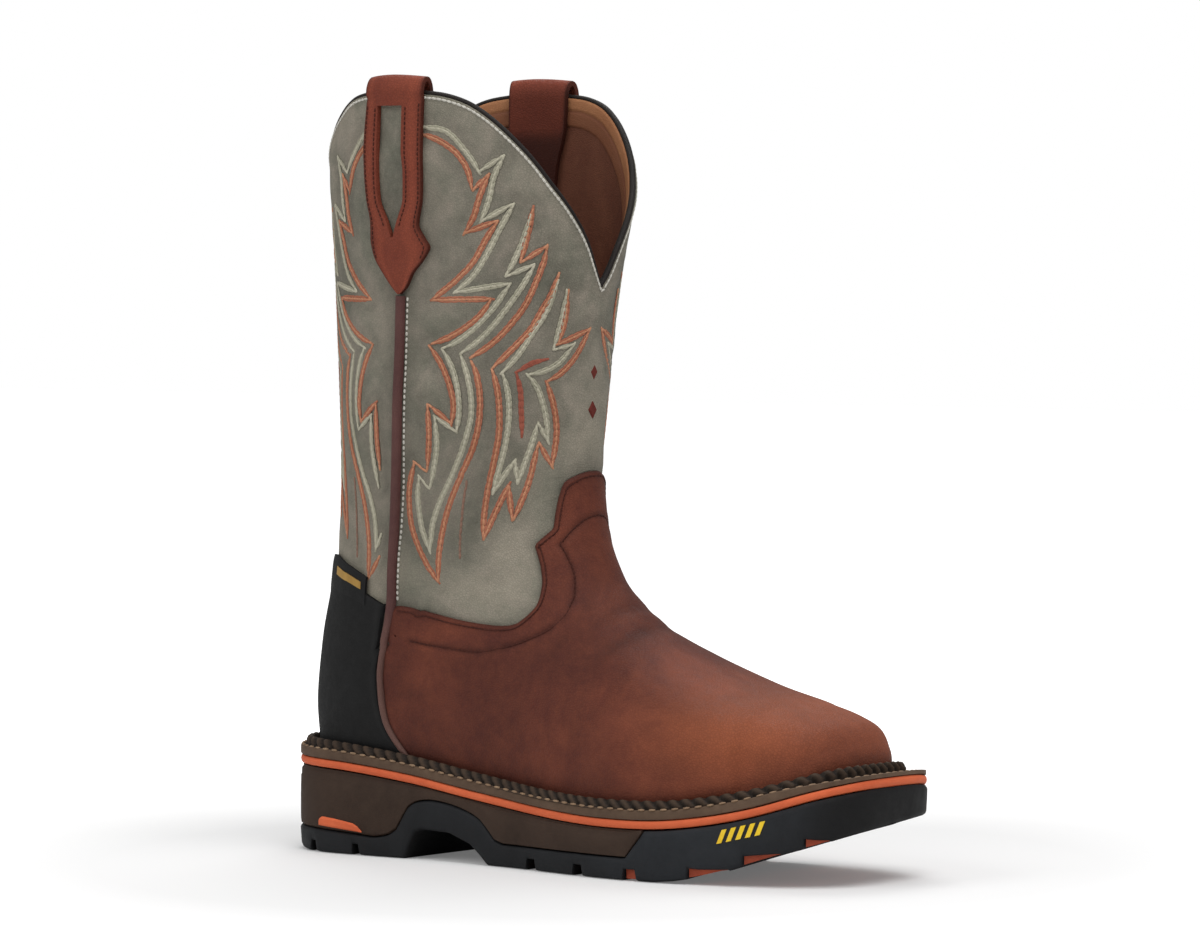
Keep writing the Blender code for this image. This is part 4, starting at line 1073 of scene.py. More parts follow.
# Vamp: foot leather with a rounded top edge and a sewn line inside it
def vampLift(points, rows, rounds):
    gap = nearest(points, vampRim)
    line = nearest(points, vampBorder)
    lift = vampPiece["thick"] * roundEdge(gap, vampPiece["edgeRadius"], 0.02)
    lift = lift - fadeAt(line, *vampPiece["groove"]) + fadeAt(line, *vampPiece["plump"])
    cap = np.interp(np.abs(rounds), vampPiece["cap"][:, 0], vampPiece["cap"][:, 1])
    step = vampPiece["capStep"] * (1 - softStep(*vampPiece["capSides"], np.abs(rounds)))
    step = step * (1 - softStep(*vampPiece["capSlope"], rows - cap))
    lift = lift + step * softStep(*vampPiece["capToe"], rows)
    fold = np.zeros(len(rows))
    for start, end, row, depth, width in vampPiece["creases"]:
        middle = (start + end) / 2
        reach = (end - start) / 2
        fade = np.clip(1 - ((rounds - middle) / reach) ** 2, 0, 1)
        bend = row + vampPiece["creaseBow"] * ((rounds - middle) / reach) ** 2
        fold = fold + depth * fade * bell(rows - bend, width)
        fold = fold - vampPiece["creaseRoll"] * depth * fade * bell(rows - bend - 2 * width, width)
    uneven = vampPiece["rumple"] * rumple(points, vampPiece["rumpleSize"], 5)
    lift = lift - fold + uneven * softStep(*vampPiece["calmEdge"], gap)
    vampPiece["gap"] = gap
    vampPiece["line"] = line
    vampPiece["fold"] = fold
    return lift


def vampShape(u, v):
    rounds = vampRounds(2 * u - 1)
    rows = bandRows(v, vampPiece["bands"], vampTop(rounds))
    points = upperPoints(rows, rounds)
    lift = vampLift(points, rows, rounds)
    vampPiece["points"] = points
    return liftedFoot(points + upperNormals(rows, rounds) * lift[:, None])


def liftedFoot(points):
    # keep an overlay's foot edge clear of the midsole line
    above = np.maximum(points[:, 2] - riseAt(points[:, 0]), 0.0)
    most, fall = vampPiece["footLift"]
    points[:, 2] += most * np.exp(-above / fall)
    return points


def makeVamp():
    piece = addSheet("vamp_leather", vampPiece["columns"], vampPiece["rows"], vampShape)
    x, _, z = vampPiece["points"].T
    shade = fadeAt(vampPiece["gap"], *vampPiece["edgeShade"])
    shade = shade + fadeAt(vampPiece["line"], *vampPiece["lineShade"])
    shade = shade + vampPiece["foldShade"] * np.clip(vampPiece["fold"], 0, 1)
    shade = shade + fadeAt(z - riseAt(x), *vampPiece["weltShade"])
    shade = shade + fadeAt(x, *vampPiece["flexShade"]) * softStep(*vampPiece["flexAbove"], z)
    shade = shade + fadeAt(x, *vampPiece["heelShade"])
    setValues(piece, "shade", np.clip(shade, 0, 1))
    setValues(piece, "glow", fadeAt(x, *vampPiece["toeGlow"]) * fadeAt(z, 1.0, *vampPiece["glowHeight"]))
    thicken(piece, vampPiece["wall"])
    finishPiece(piece, "vamp_leather", leatherOf["vamp"], "vamp")


makeVamp()
print("vamp laid")

# Counter, heel tab and side piping
counterPiece = {
    "columns": 150, "rows": 70, "thick": 1.9, "wall": 1.1, "edgeRadius": 1.2, "clear": 1.1, "footRow": 10.2,
    "seamSteps": 160, "across": 60.0, "tall": 75.0,  # rough size from seam to back and from foot to top
    "backEnd": 0.985, "backMiddle": 0.999, "topFrom": (0.7, 1.0),
    "edgeShade": (0.7, 0.0, 1.5), "edgeGlow": (0.5, 3.0, 1.2),
    # share round, section row of the top edge
    "top": np.array([
        (0.556, 15.00), (0.566, 15.13), (0.644, 15.85), (0.726, 16.43), (0.842, 16.98), (1.000, 17.15),
    ]),
    "tabEnd": 0.634, "tabBelow": 0.26, "tabAbove": 0.36, "tabThick": 2.3, "tabWall": 1.2,
    "tabRound": 0.5, "tabGrid": (80, 10), "barGrid": (26, 6),
    "barFrom": 0.652, "barTo": 0.79, "barLow": -0.05, "barHigh": 0.2, "barProud": 0.3, "barWall": 0.6,
}


def counterTop(share):
    top = counterPiece["top"]
    return steadyCurve(top[:, 0], top[:, 1], share)


def heelPoints(share, side, rows, lift):
    # points lifted off the upper, with both sides meeting at the middle of the back
    back = share > counterPiece["backMiddle"]
    normals = upperNormals(rows, side * np.minimum(share, counterPiece["backEnd"]))
    normals[back, 1] = 0.0
    points = upperPoints(rows, side * share) + unit(normals) * lift[:, None]
    points[back, 1] = 0.0
    return points


def counterShape(u, v):
    _, rows, shares = seamPath(counterPiece["seamSteps"])
    keep = rows <= lastForm["seam"][lastForm["seamCorner"], 1]
    rows, shares = beside(rows[keep][::-1], shares[keep][::-1], -counterPiece["clear"])
    climb = np.linspace(0, 1, len(rows))
    side = np.where(u < 0.5, -1.0, 1.0)
    run = 1 - np.abs(2 * u - 1)
    frontShare = np.interp(v, climb, shares)
    frontRow = np.interp(v, climb, rows)
    backRow = counterPiece["footRow"] + (counterTop(1.0) - counterPiece["footRow"]) * v
    across = frontShare + (1 - frontShare) * run
    level = frontRow + (backRow - frontRow) * run
    level = level + (counterTop(across) - level) * softStep(*counterPiece["topFrom"], v)
    rim = np.minimum(run * counterPiece["across"], (1 - v) * counterPiece["tall"])
    lift = counterPiece["thick"] * roundEdge(rim, counterPiece["edgeRadius"], 0.05)
    counterPiece["rim"] = rim
    return liftedFoot(heelPoints(across, side, level, lift))


def makeCounter():
    piece = addSheet("counter_leather", counterPiece["columns"], counterPiece["rows"], counterShape)
    rim = counterPiece["rim"]
    setValues(piece, "shade", fadeAt(rim, *counterPiece["edgeShade"]))
    setValues(piece, "glow", fadeAt(rim, *counterPiece["edgeGlow"]))
    inEdit(piece, faceAbout)
    thicken(piece, counterPiece["wall"])
    finishPiece(piece, "counter_leather", leatherOf["counter"], "counter")


def tabShape(u, v):
    side = np.where(u < 0.5, -1.0, 1.0)
    share = counterPiece["tabEnd"] + (1 - counterPiece["tabEnd"]) * (1 - np.abs(2 * u - 1))
    below = counterPiece["tabBelow"]
    rows = counterTop(share) - below + (below + counterPiece["tabAbove"]) * v
    lift = counterPiece["tabThick"] - counterPiece["tabRound"] * (2 * v - 1) ** 4
    return heelPoints(share, side, rows, lift)


def barShape(u, v):
    # plain gold bar woven into the tab's outer end
    share = counterPiece["barTo"] + (counterPiece["barFrom"] - counterPiece["barTo"]) * u
    low = counterPiece["barLow"]
    rows = counterTop(share) - low + (low + counterPiece["barHigh"]) * v
    lift = np.full(len(u), counterPiece["tabThick"] + counterPiece["barProud"])
    return heelPoints(share, -1.0, rows, lift)


def makeTab():
    piece = addSheet("heel_tab_band", *counterPiece["tabGrid"], tabShape)
    inEdit(piece, faceAbout)
    thicken(piece, counterPiece["tabWall"])
    finishPiece(piece, "counter_leather", leatherOf["counter"], "heel_tab")
    bar = addSheet("heel_tab_bar", *counterPiece["barGrid"], barShape)
    thicken(bar, counterPiece["barWall"])
    finishPiece(bar, "counter_leather", rubberOf["gold"])


pipingPiece = {
    "width": 4.7, "high": 3.1, "low": 0.6, "fullness": 0.7, "wall": 0.8, "stations": 200, "round": 8,
    "palerRows": (13.5, 15.0), "slimmer": 0.3, "paler": 0.8,  # the worn stretch over the foot
}


def makePiping(side):
    count = pipingPiece["stations"]
    points, rows, shares = seamPath(count + 1)
    normals = upperNormals(rows, shares)
    along = unit(np.gradient(points, axis=0))
    across = unit(np.cross(along, normals))
    paler = 1 - softStep(*pipingPiece["palerRows"], rows)

    def shape(u, v):
        k = np.round(u * count).astype(int)
        turn = np.pi * (v if side > 0 else 1 - v)
        wide = np.cos(turn) * pipingPiece["width"] / 2 * (1 - pipingPiece["slimmer"] * paler[k])
        crown = np.sin(turn) ** pipingPiece["fullness"]
        high = pipingPiece["low"] + crown * (pipingPiece["high"] - pipingPiece["low"])
        place = points[k] + across[k] * wide[:, None] + normals[k] * high[:, None]
        pipingPiece["glow"] = pipingPiece["paler"] * paler[k]
        return place * (1.0 if side > 0 else otherSide)

    name = sideName("side_piping_", side)
    piece = addSheet(name + "_roll", count, pipingPiece["round"], shape)
    setValues(piece, "glow", pipingPiece["glow"])
    thicken(piece, pipingPiece["wall"])
    finishPiece(piece, "binding_leather", leatherOf["piping"], name)


makeCounter()
makeTab()
for side in (-1, 1):
    makePiping(side)
print("counter, tab and piping laid")

# Pull straps, from the spade tip up the outside, over the collar and down inside
strapPiece = {
    # height, back edge, window back edge, window front edge, front edge, as shares round
    "outline": np.array([
        (246.8, 0.5140, 0.5125, 0.5095, 0.5080), (249.6, 0.5300, 0.5180, 0.5040, 0.4920),
        (256.0, 0.5600, 0.5300, 0.5000, 0.4740), (262.0, 0.5850, 0.5420, 0.5020, 0.4470),
        (267.0, 0.5960, 0.5420, 0.5200, 0.4340), (270.5, 0.6000, 0.5380, 0.5310, 0.4460),
        (277.0, 0.6010, 0.5500, 0.5230, 0.4660), (288.0, 0.6160, 0.5790, 0.5060, 0.4590),
        (299.0, 0.6240, 0.5850, 0.5080, 0.4610), (309.0, 0.6270, 0.5860, 0.5150, 0.4640),
        (326.0, 0.6200, 0.5840, 0.5160, 0.4650), (331.5, 0.6160, 0.5840, 0.5160, 0.4640),
    ]),
    "window": (271.0, 328.6), "low": 0.5, "thick": 2.2, "rise": 6.6, "inside": (322.0, 262.0),
    "edgeWidth": 0.5, "narrower": 0.25, "innerGap": 0.4, "loopGap": 0.9, "loopDown": 1.0,
    "columns": 24, "outRows": 76, "loopRows": 16, "inRows": 24, "seamSteps": 120,
    "edgeShade": (0.75, 0.0, 0.03), "edgeGlow": (1.0, 0.16, 0.06),
    # narrower where it turns down inside the shaft, with painted shade there, over these parts of loop and
    # inside
    "narrowFrom": (0.0, 0.4), "loopShade": 0.4, "loopFrom": (0.6, 1.0), "innerShade": 0.6,
    "innerFrom": (0.0, 0.16),
    # part of the width, lowest and highest point of each row of stitches
    "seams": ((0.045, 262.0, 329.0), (0.955, 262.0, 329.0), (0.27, 276.0, 328.0), (0.73, 276.0, 328.0)),
    "thread": threadKind(1.7, 2.1, 0.8, 0.6, 0.1, 0.04, 21),
}


def strapShares(across, heights):
    # shares round at parts of the strap's width: back leg, window and front leg take a third each
    table = strapPiece["outline"]
    edges = np.stack([steadyCurve(table[:, 0], table[:, c], heights) for c in (1, 2, 3, 4)])
    third = np.clip((across * 3).astype(int), 0, 2)
    n = np.arange(len(heights))
    return edges[third, n] + (edges[third + 1, n] - edges[third, n]) * (across * 3 - third)


def strapShape(u, v, side):
    table = strapPiece["outline"]
    outRows = strapPiece["outRows"]
    loopRows = strapPiece["loopRows"]
    k = np.round(v * (outRows + loopRows + strapPiece["inRows"])).astype(int)
    height = table[0, 0] + (table[-1, 0] - table[0, 0]) * np.clip(k / outRows, 0, 1)
    share = strapShares(u, height)
    middle = (table[-1, 1] + table[-1, 4]) / 2
    loop = np.clip((k - outRows) / loopRows, 0, 1)
    inside = np.clip((k - outRows - loopRows) / strapPiece["inRows"], 0, 1)
    share = share + (middle - share) * strapPiece["narrower"] * softStep(*strapPiece["narrowFrom"], inside)
    high, deep = strapPiece["inside"]
    height = np.where(inside > 0, high + (deep - high) * inside, height)
    rows = rowsAtHeight(share, height)
    normals = upperNormals(rows, side * share)
    flat = upperPoints(rows, side * share)
    out = flat + normals * strapPiece["low"]
    within = flat - normals * (lastForm["wall"] + strapPiece["low"] + strapPiece["innerGap"])
    rimRows = collarRows(share)
    rim = upperPoints(rimRows, side * share)
    rimOut = upperNormals(rimRows, side * share)
    turn = loop * np.pi
    reach = lastForm["wall"] / 2 + strapPiece["low"] + strapPiece["loopGap"]
    lie = rimOut * (np.cos(turn) * reach)[:, None]
    lie[:, 2] += np.sin(turn) * strapPiece["rise"] - strapPiece["loopDown"]
    over = rim - rimOut * lastForm["wall"] / 2 + lie
    isLoop = (k > outRows) & (k <= outRows + loopRows)
    strapPiece["height"] = np.where(k <= outRows, height, 0.0)
    strapPiece["edge"] = np.minimum(u, 1 - u)
    # painted shade on the loop's far end and on the leg inside the shaft
    loopShade = strapPiece["loopShade"] * softStep(*strapPiece["loopFrom"], loop)
    innerShade = strapPiece["innerShade"] * softStep(*strapPiece["innerFrom"], inside)
    strapPiece["within"] = loopShade + innerShade
    return np.where(isLoop[:, None], over, np.where((inside > 0)[:, None], within, out))


def makeStrap(side):
    name = sideName("pull_strap_", side)
    total = strapPiece["outRows"] + strapPiece["loopRows"] + strapPiece["inRows"]
    piece = addSheet(name + "_leather", strapPiece["columns"], total, lambda u, v: strapShape(u, v, side))
    height = strapPiece["height"]
    edge = strapPiece["edge"]
    within = strapPiece["within"]
    setValues(piece, "shade", np.clip(fadeAt(edge, *strapPiece["edgeShade"]) + within, 0, 1))
    setValues(piece, "glow", fadeAt(edge, *strapPiece["edgeGlow"]) * (within == 0))
    low, high = strapPiece["window"]
    flat = strapPiece["columns"]
    chosen(piece)
    bpy.ops.object.mode_set(mode="EDIT")
    bpy.ops.mesh.select_mode(type="FACE")
    bpy.ops.mesh.select_all(action="DESELECT")
    bpy.ops.object.mode_set(mode="OBJECT")
    for face in piece.data.polygons:
        tall = [height[k] for k in face.vertices]
        column = face.index % flat
        inWindow = flat / 3 <= column < 2 * flat / 3
        face.select = bool(inWindow and min(tall) >= low and max(tall) <= high)
    bpy.ops.object.mode_set(mode="EDIT")
    bpy.ops.mesh.delete(type="FACE")
    bpy.ops.object.mode_set(mode="OBJECT")
    if side < 0:
        inEdit(piece, faceAbout)
    thicken(piece, strapPiece["thick"])
    soften(piece, strapPiece["edgeWidth"], 2)
    finishPiece(piece, "strap_leather", leatherOf["strap"], name)


def strapSeam(side, fraction, low, high):
    # a line of thread on the strap's face, at a part of its width
    heights = np.linspace(low, high, strapPiece["seamSteps"])
    shares = strapShares(np.full(len(heights), fraction), heights)
    return threadRows(rowsAtHeight(shares, heights), side * shares, strapPiece["thread"],
                      lift=strapPiece["low"] + strapPiece["thick"])


def makeStrapSeams():
    stitched = []
    for side in (-1, 1):
        for fraction, low, high in strapPiece["seams"]:
            stitched += strapSeam(side, fraction, low, high)
    addThread("strap_stitches", stitched, strapPiece["thread"], threadOf["brown"], "strap_leather")


for side in (-1, 1):
    makeStrap(side)
makeStrapSeams()
print("straps laid")

# Collar binding, lining and the facing inside the collar
collarPiece = {
    "radius": 1.15, "wider": 0.25, "flatter": 0.95, "up": 0.5, "stations": 420, "round": 12,
    "liningColumns": 140, "liningRows": 90, "liningBands": ((0.0, 0.0), (0.4, 14.0)), "liningFoot": 0.6,
    "liningWall": 0.9, "ripple": 0.35, "rippleSize": 26.0, "calmBack": 0.97,
    "facing": 12.5, "facingSteep": 0.36, "facingBlur": 9, "facingRows": 22, "facingGap": 0.15,
    "bulge": 0.55, "sewnDown": (0.4, 0.56, 0.05),  # depth, part of the width, width of the sewn dip
    "sewnShade": (0.5, 0.56, 0.05), "lowerShade": 0.85, "lowerTo": (0.5, 0.6),
}


def collarFrame(count):
    rounds = np.linspace(-1, 1, count + 1)
    rows = collarRows(rounds)
    rim = upperPoints(rows, rounds)
    out = joinedNormals(rows, rounds)
    ahead = np.gradient(rim, axis=0)
    ahead[0] = ahead[-1] = (0.0, 1.0, 0.0)
    up = unit(np.cross(unit(ahead), out))
    up = up * np.sign(up[:, 2:3])
    return rounds, rows, rim, out, up


def makeBinding():
    count = collarPiece["stations"]
    _, _, rim, out, up = collarFrame(count)
    radius = collarPiece["radius"]
    middle = rim - out * lastForm["wall"] / 2 + up * (radius * collarPiece["up"])

    def shape(u, v):
        k = np.round(u * count).astype(int)
        turn = 2 * np.pi * v
        wide = np.cos(turn) * (radius + collarPiece["wider"])
        tall = np.sin(turn) * radius * collarPiece["flatter"]
        return middle[k] + out[k] * wide[:, None] + up[k] * tall[:, None]

    piece = addSheet("collar_binding_roll", count, collarPiece["round"], shape, joined=True)
    inEdit(piece, faceOut)
    finishPiece(piece, "binding_leather", leatherOf["binding"], "collar_binding")


def liningShape(u, v):
    rounds = 2 * u - 1
    rows = bandRows(v, collarPiece["liningBands"], collarTop(rounds))
    rows = np.maximum(rows, collarPiece["liningFoot"])
    points = upperPoints(rows, rounds)
    ripple = collarPiece["ripple"] * rumple(points, collarPiece["rippleSize"], 9)
    ripple[np.abs(rounds) > collarPiece["calmBack"]] = 0.0
    depth = lastForm["wall"] - collarPiece["liningWall"] + ripple
    return points - joinedNormals(rows, rounds) * depth[:, None]


def makeLining():
    columns = collarPiece["liningColumns"]
    piece = addSheet("shaft_lining", columns, collarPiece["liningRows"], liningShape, joined=True)
    thicken(piece, collarPiece["liningWall"])
    finishPiece(piece, "binding_leather", leatherOf["lining"])


def makeFacing():
    count = collarPiece["stations"]
    rounds, rows, rim, _, up = collarFrame(count)
    # straight down, and further where the collar is steep, so that the band keeps its width
    drop = collarPiece["facing"] / np.clip(up[:, 2], collarPiece["facingSteep"], 1)
    blur = collarPiece["facingBlur"]
    weights = np.ones(2 * blur + 1) / (2 * blur + 1)
    drop = np.convolve(np.pad(drop, blur, mode="edge"), weights, "valid")
    lowRows = rowsAtHeight(rounds, rim[:, 2] - drop)

    def shape(u, v):
        k = np.round(u * count).astype(int)
        at = lowRows[k] + (rows[k] - lowRows[k]) * v
        bulge = collarPiece["bulge"] * np.sqrt(np.clip(1 - (2 * v - 1) ** 6, 0, 1))
        bulge = bulge - fadeAt(v, *collarPiece["sewnDown"])
        shade = collarPiece["lowerShade"] * (1 - softStep(*collarPiece["lowerTo"], v))
        collarPiece["shade"] = shade + fadeAt(v, *collarPiece["sewnShade"])
        depth = lastForm["wall"] + collarPiece["facingGap"] + bulge
        return upperPoints(at, rounds[k]) - joinedNormals(at, rounds[k]) * depth[:, None]

    piece = addSheet("collar_facing", count, collarPiece["facingRows"], shape)
    setValues(piece, "shade", np.clip(collarPiece["shade"], 0, 1))
    inEdit(piece, mergeDoubles)
    inEdit(piece, faceAbout)
    finishPiece(piece, "strap_leather", leatherOf["facing"])


makeBinding()
makeLining()
makeFacing()
print("collar and lining laid")

# Welt: a ledge with a rope-like storm rim pressed against the upper
weltPiece = {
    "pitch": 6.0, "perBump": 12, "ledge": 4.2, "rimIn": 3.4, "rimOut": 6.1, "rimTop": 8.2, "gap": 0.3,
    "bump": 1.3, "slant": 0.55, "toeThin": 0.5, "toeFrom": 0.9,
    "grooveShape": 0.8, "grooveShade": 1.2, "ropeShade": 0.5, "crownDip": 0.8, "outlineSteps": 1500,
    # share of length, how far the upper swells out at the rim's top
    "swell": np.array([
        (0.00, 0.2), (0.08, 0.5), (0.18, 1.9), (0.38, 2.1), (0.52, 2.3), (0.60, 1.8),
        (0.68, 1.6), (0.75, 2.0), (0.81, 2.7), (0.88, 2.2), (0.94, 0.5), (1.00, 0.2),
    ]),
}


def outlineStations(spacing):
    # shares of length and sides at even steps round the welt, from the heel along the outer side
    shares = (1 - np.cos(np.linspace(0, np.pi, weltPiece["outlineSteps"]))) / 2
    both = np.concatenate([shares, shares[-2::-1]])
    sides = np.concatenate([-np.ones(len(shares)), np.ones(len(shares) - 1)])
    x = lastForm["footHeel"] + (lastForm["footToe"] - lastForm["footHeel"]) * both
    line = np.stack([x, sides * halfWidth(both, sides, 0.0)], 1)
    run = runAlong(line)
    count = int(round(run[-1] / spacing))
    at = np.linspace(0, run[-1], count + 1)
    half = run[len(shares) - 1]
    return np.interp(at, run, both), np.where(at <= half, -1.0, 1.0), at, run[-1]


def weltPoint(shares, sides, out, up, lean):
    swell = np.interp(shares, weltPiece["swell"][:, 0], weltPiece["swell"][:, 1])
    heel = lastForm["footHeel"] - out
    reach = lastForm["soleToe"] - lastForm["footToe"]
    toe = lastForm["footToe"] + np.interp(out, (0, weltPiece["rimOut"], lastForm["footIn"]),
                                          (0, weltPiece["rimOut"], reach))
    x = heel + (toe - heel) * shares
    y = sides * halfWidth(shares, sides, out - lastForm["footIn"] + swell * lean)
    return np.stack([x, y, riseAt(x) + weltPiece["gap"] + up], 1)


def ledgeShare(shares):
    # the ledge thins towards the toe
    return 1 - weltPiece["toeThin"] * softStep(weltPiece["toeFrom"], 1.0, shares)


def makeWelt():
    shares, sides, at, length = outlineStations(weltPiece["pitch"] / weltPiece["perBump"])
    bumps = int(round(length / weltPiece["pitch"]))
    edge = lastForm["footIn"]
    ledge = weltPiece["ledge"]
    rimIn = weltPiece["rimIn"]
    rimOut = weltPiece["rimOut"]
    top = weltPiece["rimTop"]
    # out from the foot line, up from the midsole line, lean with the upper, share of the bumps
    profile = np.array([
        (3.0, 0.1, 0.3, 0), (edge - 0.3, 0.0, 0, 0), (edge, 0.4, 0, 0), (edge, ledge - 0.7, 0, 0),
        (edge - 0.25, ledge - 0.15, 0, 0), (edge - 0.7, ledge, 0, 0), (rimOut + 1.0, ledge, 0.6, 0),
        (rimOut + 0.5, ledge - 0.7, 0.7, 0), (rimOut + 0.1, ledge - 0.6, 0.8, 0.3),
        (rimOut + 0.15, ledge + 0.9, 0.9, 1), (rimOut - 0.1, top - 1.6, 1, 1),
        (rimOut - 0.6, top - 0.5, 1, 1), (rimOut - 1.3, top, 1, 0.9),
        (rimIn + 0.5, top - 0.2, 1, 0.6), (rimIn, top - 1.2, 1, 0.2), (rimIn - 0.4, 4.0, 0.6, 0),
    ])
    count = len(at) - 1

    def shape(u, v):
        k = np.round(u * count).astype(int)
        row = np.round(v * len(profile)).astype(int) % len(profile)
        out, up, lean, bump = profile[row].T
        phase = at[k] / length * bumps + weltPiece["slant"] * (up - ledge) / (top - ledge) * (bump > 0)
        groove = 1 - np.abs(np.sin(np.pi * phase)) ** weltPiece["grooveShape"]
        underRope = (row == 7) | (row == 8)
        shade = groove * bump * weltPiece["grooveShade"] + underRope + weltPiece["ropeShade"] * (row > 8)
        weltPiece["shade"] = np.clip(shade, 0, 1)
        up = np.where(up <= ledge + 0.01, up * ledgeShare(shares[k]), up)
        dent = weltPiece["bump"] * bump * groove
        out = out - dent
        up = up - weltPiece["crownDip"] * dent * (up > top - 1.7)
        return weltPoint(shares[k], sides[k], out, up, lean)

    piece = addSheet("storm_welt", count, len(profile), shape)
    setValues(piece, "shade", weltPiece["shade"])
    inEdit(piece, mergeDoubles, faceOut)
    finishPiece(piece, "welt_rubber", rubberOf["welt"], "welt")


makeWelt()
print("welt laid")

# Sole layers, each a closed sheet wound round its outline
soleForm = {
    "line": 3.7, "gap": 0.3, "capX": 223.0, "endShare": 0.1, "grooveDepth": 4.6, "draft": 0.9,
    "stations": 110, "apart": 0.0022,  # least share of length between two stations
    "sideShade": 0.5, "paleX": (240.0, 48.0), "underShade": 0.35, "underReach": 0.4,
    "toeShade": 0.4, "toeFrom": (288.0, 306.0),
    # x, height of the underside along the middle, rise towards the inner side
    "under": np.array([
        (0, 6.0, 0), (6, 2.6, 0), (15, 0.4, 0), (20, 0, 0), (79, 0, 0), (81, 5.0, 0), (84.5, 11.5, 0),
        (88, 13.2, 0), (104, 12.6, 0), (117, 8.2, 0), (123, 3.5, 0), (127, 0, 0), (211.25, 0, 0),
        (218.75, 1.5, 0.028), (226, 2.6, 0.048), (236, 4.5, 0.067), (248, 7.4, 0.086),
        (264, 11.5, 0.092), (282, 16.8, 0.083), (298, 21.3, 0.091), (312, 25.2, 0.085),
    ]),
    # x, height of the outsole's upper face
    "over": np.array([
        (0, 10.6), (20, 10.4), (50, 9.2), (62, 8.4), (70, 9.8), (75, 12.5), (78.3, 17.8), (81.6, 22.6),
        (86.3, 25.2), (94, 26.3), (105.3, 25.2), (115.6, 22.7), (123.4, 19.4), (128, 15.3), (132, 11.2),
        (137, 9.7), (213, 9.5),
    ]),
    # rear and front edge of each groove along the sole, depth at the front; the toe's are cut like saw teeth
    "grooves": (
        (23.5, 28.5, 4.6), (49.5, 54.5, 4.6), (151.75, 158.25, 4.6), (181.75, 188.25, 4.6),
        (211.25, 218.75, 4.6), (242.7, 262.6, 0.4), (267.7, 285.6, 0.4), (293.3, 303.4, 0.4),
    ),
    # profiles: share in from the edge to the middle, share down from the roof, growth of the outline
    "tread": ((1, 0, 0), (0.5, 0, -0.4), (0.06, 0, -0.4), (0, 0.02, -0.3), (0, 0.08, 0.25), (0, 0.14, 0.5),
              (0, 0.5, 0.35), (0, 0.86, 0.1), (0, 0.95, -0.3), (0.02, 1, -0.9), (0.3, 1, -0.8),
              (0.6, 1, -0.8), (1, 1, 0)),
    "block": ((1, 0, -1), (0.08, 0, -1), (0, 0.01, -0.9), (0, 0.05, -0.8), (0, 0.08, -0.1), (0, 0.18, 0.0),
              (0, 0.2, 0.3), (0, 0.5, 0.45), (0, 0.9, 0.4), (0, 0.97, 0.2), (0.02, 1, -0.2), (1, 1, 0)),
    "band": ((1, 0, -0.6), (0.05, 0, -0.6), (0, 0.06, -0.35), (0, 0.2, 0.1), (0, 0.5, 0.3), (0, 0.8, 0.1),
             (0, 0.94, -0.35), (0.05, 1, -0.6), (1, 1, -0.6)),
}


def soleX(shares):
    return lastForm["soleHeel"] + shares * (lastForm["soleToe"] - lastForm["soleHeel"])


def soleShareAt(x):
    return (x - lastForm["soleHeel"]) / (lastForm["soleToe"] - lastForm["soleHeel"])


def soleShares(extra=()):
    extra = soleShareAt(np.asarray(list(extra), float))
    plain = (1 - np.cos(np.linspace(0, np.pi, soleForm["stations"]))) / 2
    if len(extra):
        away = np.abs(plain[:, None] - extra).min(1) > soleForm["apart"]
        plain = plain[away | (plain == 0.0) | (plain == 1.0)]
    return np.unique(np.concatenate([plain, extra]))


def lineFloor(x, y=0.0):
    return riseAt(x) - soleForm["line"]


def lineRoof(x, y=0.0):
    return riseAt(x)


def outsoleRoof(x, y=0.0):
    over = soleForm["over"]
    full = lineFloor(x) - soleForm["gap"]
    low = steadyCurve(over[:, 0], over[:, 1], x)
    ramp = np.clip((x - over[-1, 0]) / (soleForm["capX"] - over[-1, 0]), 0, 1)
    return np.minimum(low * (1 - ramp) + full * ramp, full)


def blockFloor(x, y):
    return outsoleRoof(x) + soleForm["gap"]


def blockRoof(x, y):
    return lineFloor(x) - soleForm["gap"]


def grooved(x, y):
    under = soleForm["under"]
    height = np.interp(x, under[:, 0], under[:, 1]) + y * np.interp(x, under[:, 0], under[:, 2])
    height = np.maximum(height, 0.0)
    for rear, front, shallow in soleForm["grooves"]:
        inside = (x >= rear + soleForm["draft"] - 0.01) & (x <= front - soleForm["draft"] + 0.01)
        depth = np.interp(x, (rear, front), (soleForm["grooveDepth"], shallow))
        height = np.where(inside, height + depth, height)
    return height


def addLayer(name, shares, floor, roof, profile):
    profile = np.array(profile)
    count = len(shares)
    loop = np.concatenate([np.arange(count), np.arange(count - 2, 0, -1)])
    sides = np.concatenate([-np.ones(count), np.ones(count - 2)])
    total = len(loop)
    x = soleX(shares)
    ends = np.maximum(shares / soleForm["endShare"] - 1 / soleForm["endShare"] + 1, 0)
    ends = ends - np.maximum(1 - shares / soleForm["endShare"], 0)

    def shape(u, v):
        k = np.round(u * total).astype(int) % total
        station = loop[k]
        side = sides[k]
        inward, down, grow = profile[np.round(v * (len(profile) - 1)).astype(int)].T
        y = side * halfWidth(shares[station], side, grow) * (1 - inward)
        edge = side * halfWidth(shares[station], side, 0.0) * (1 - inward)
        top = roof(x[station], edge)
        z = top + (floor(x[station], edge) - top) * down
        return np.stack([x[station] + grow * ends[station] * (inward < 1), y, z], 1)

    piece = addSheet(name, total, len(profile) - 1, shape, joined=True)
    inEdit(piece, faceOut)
    return piece


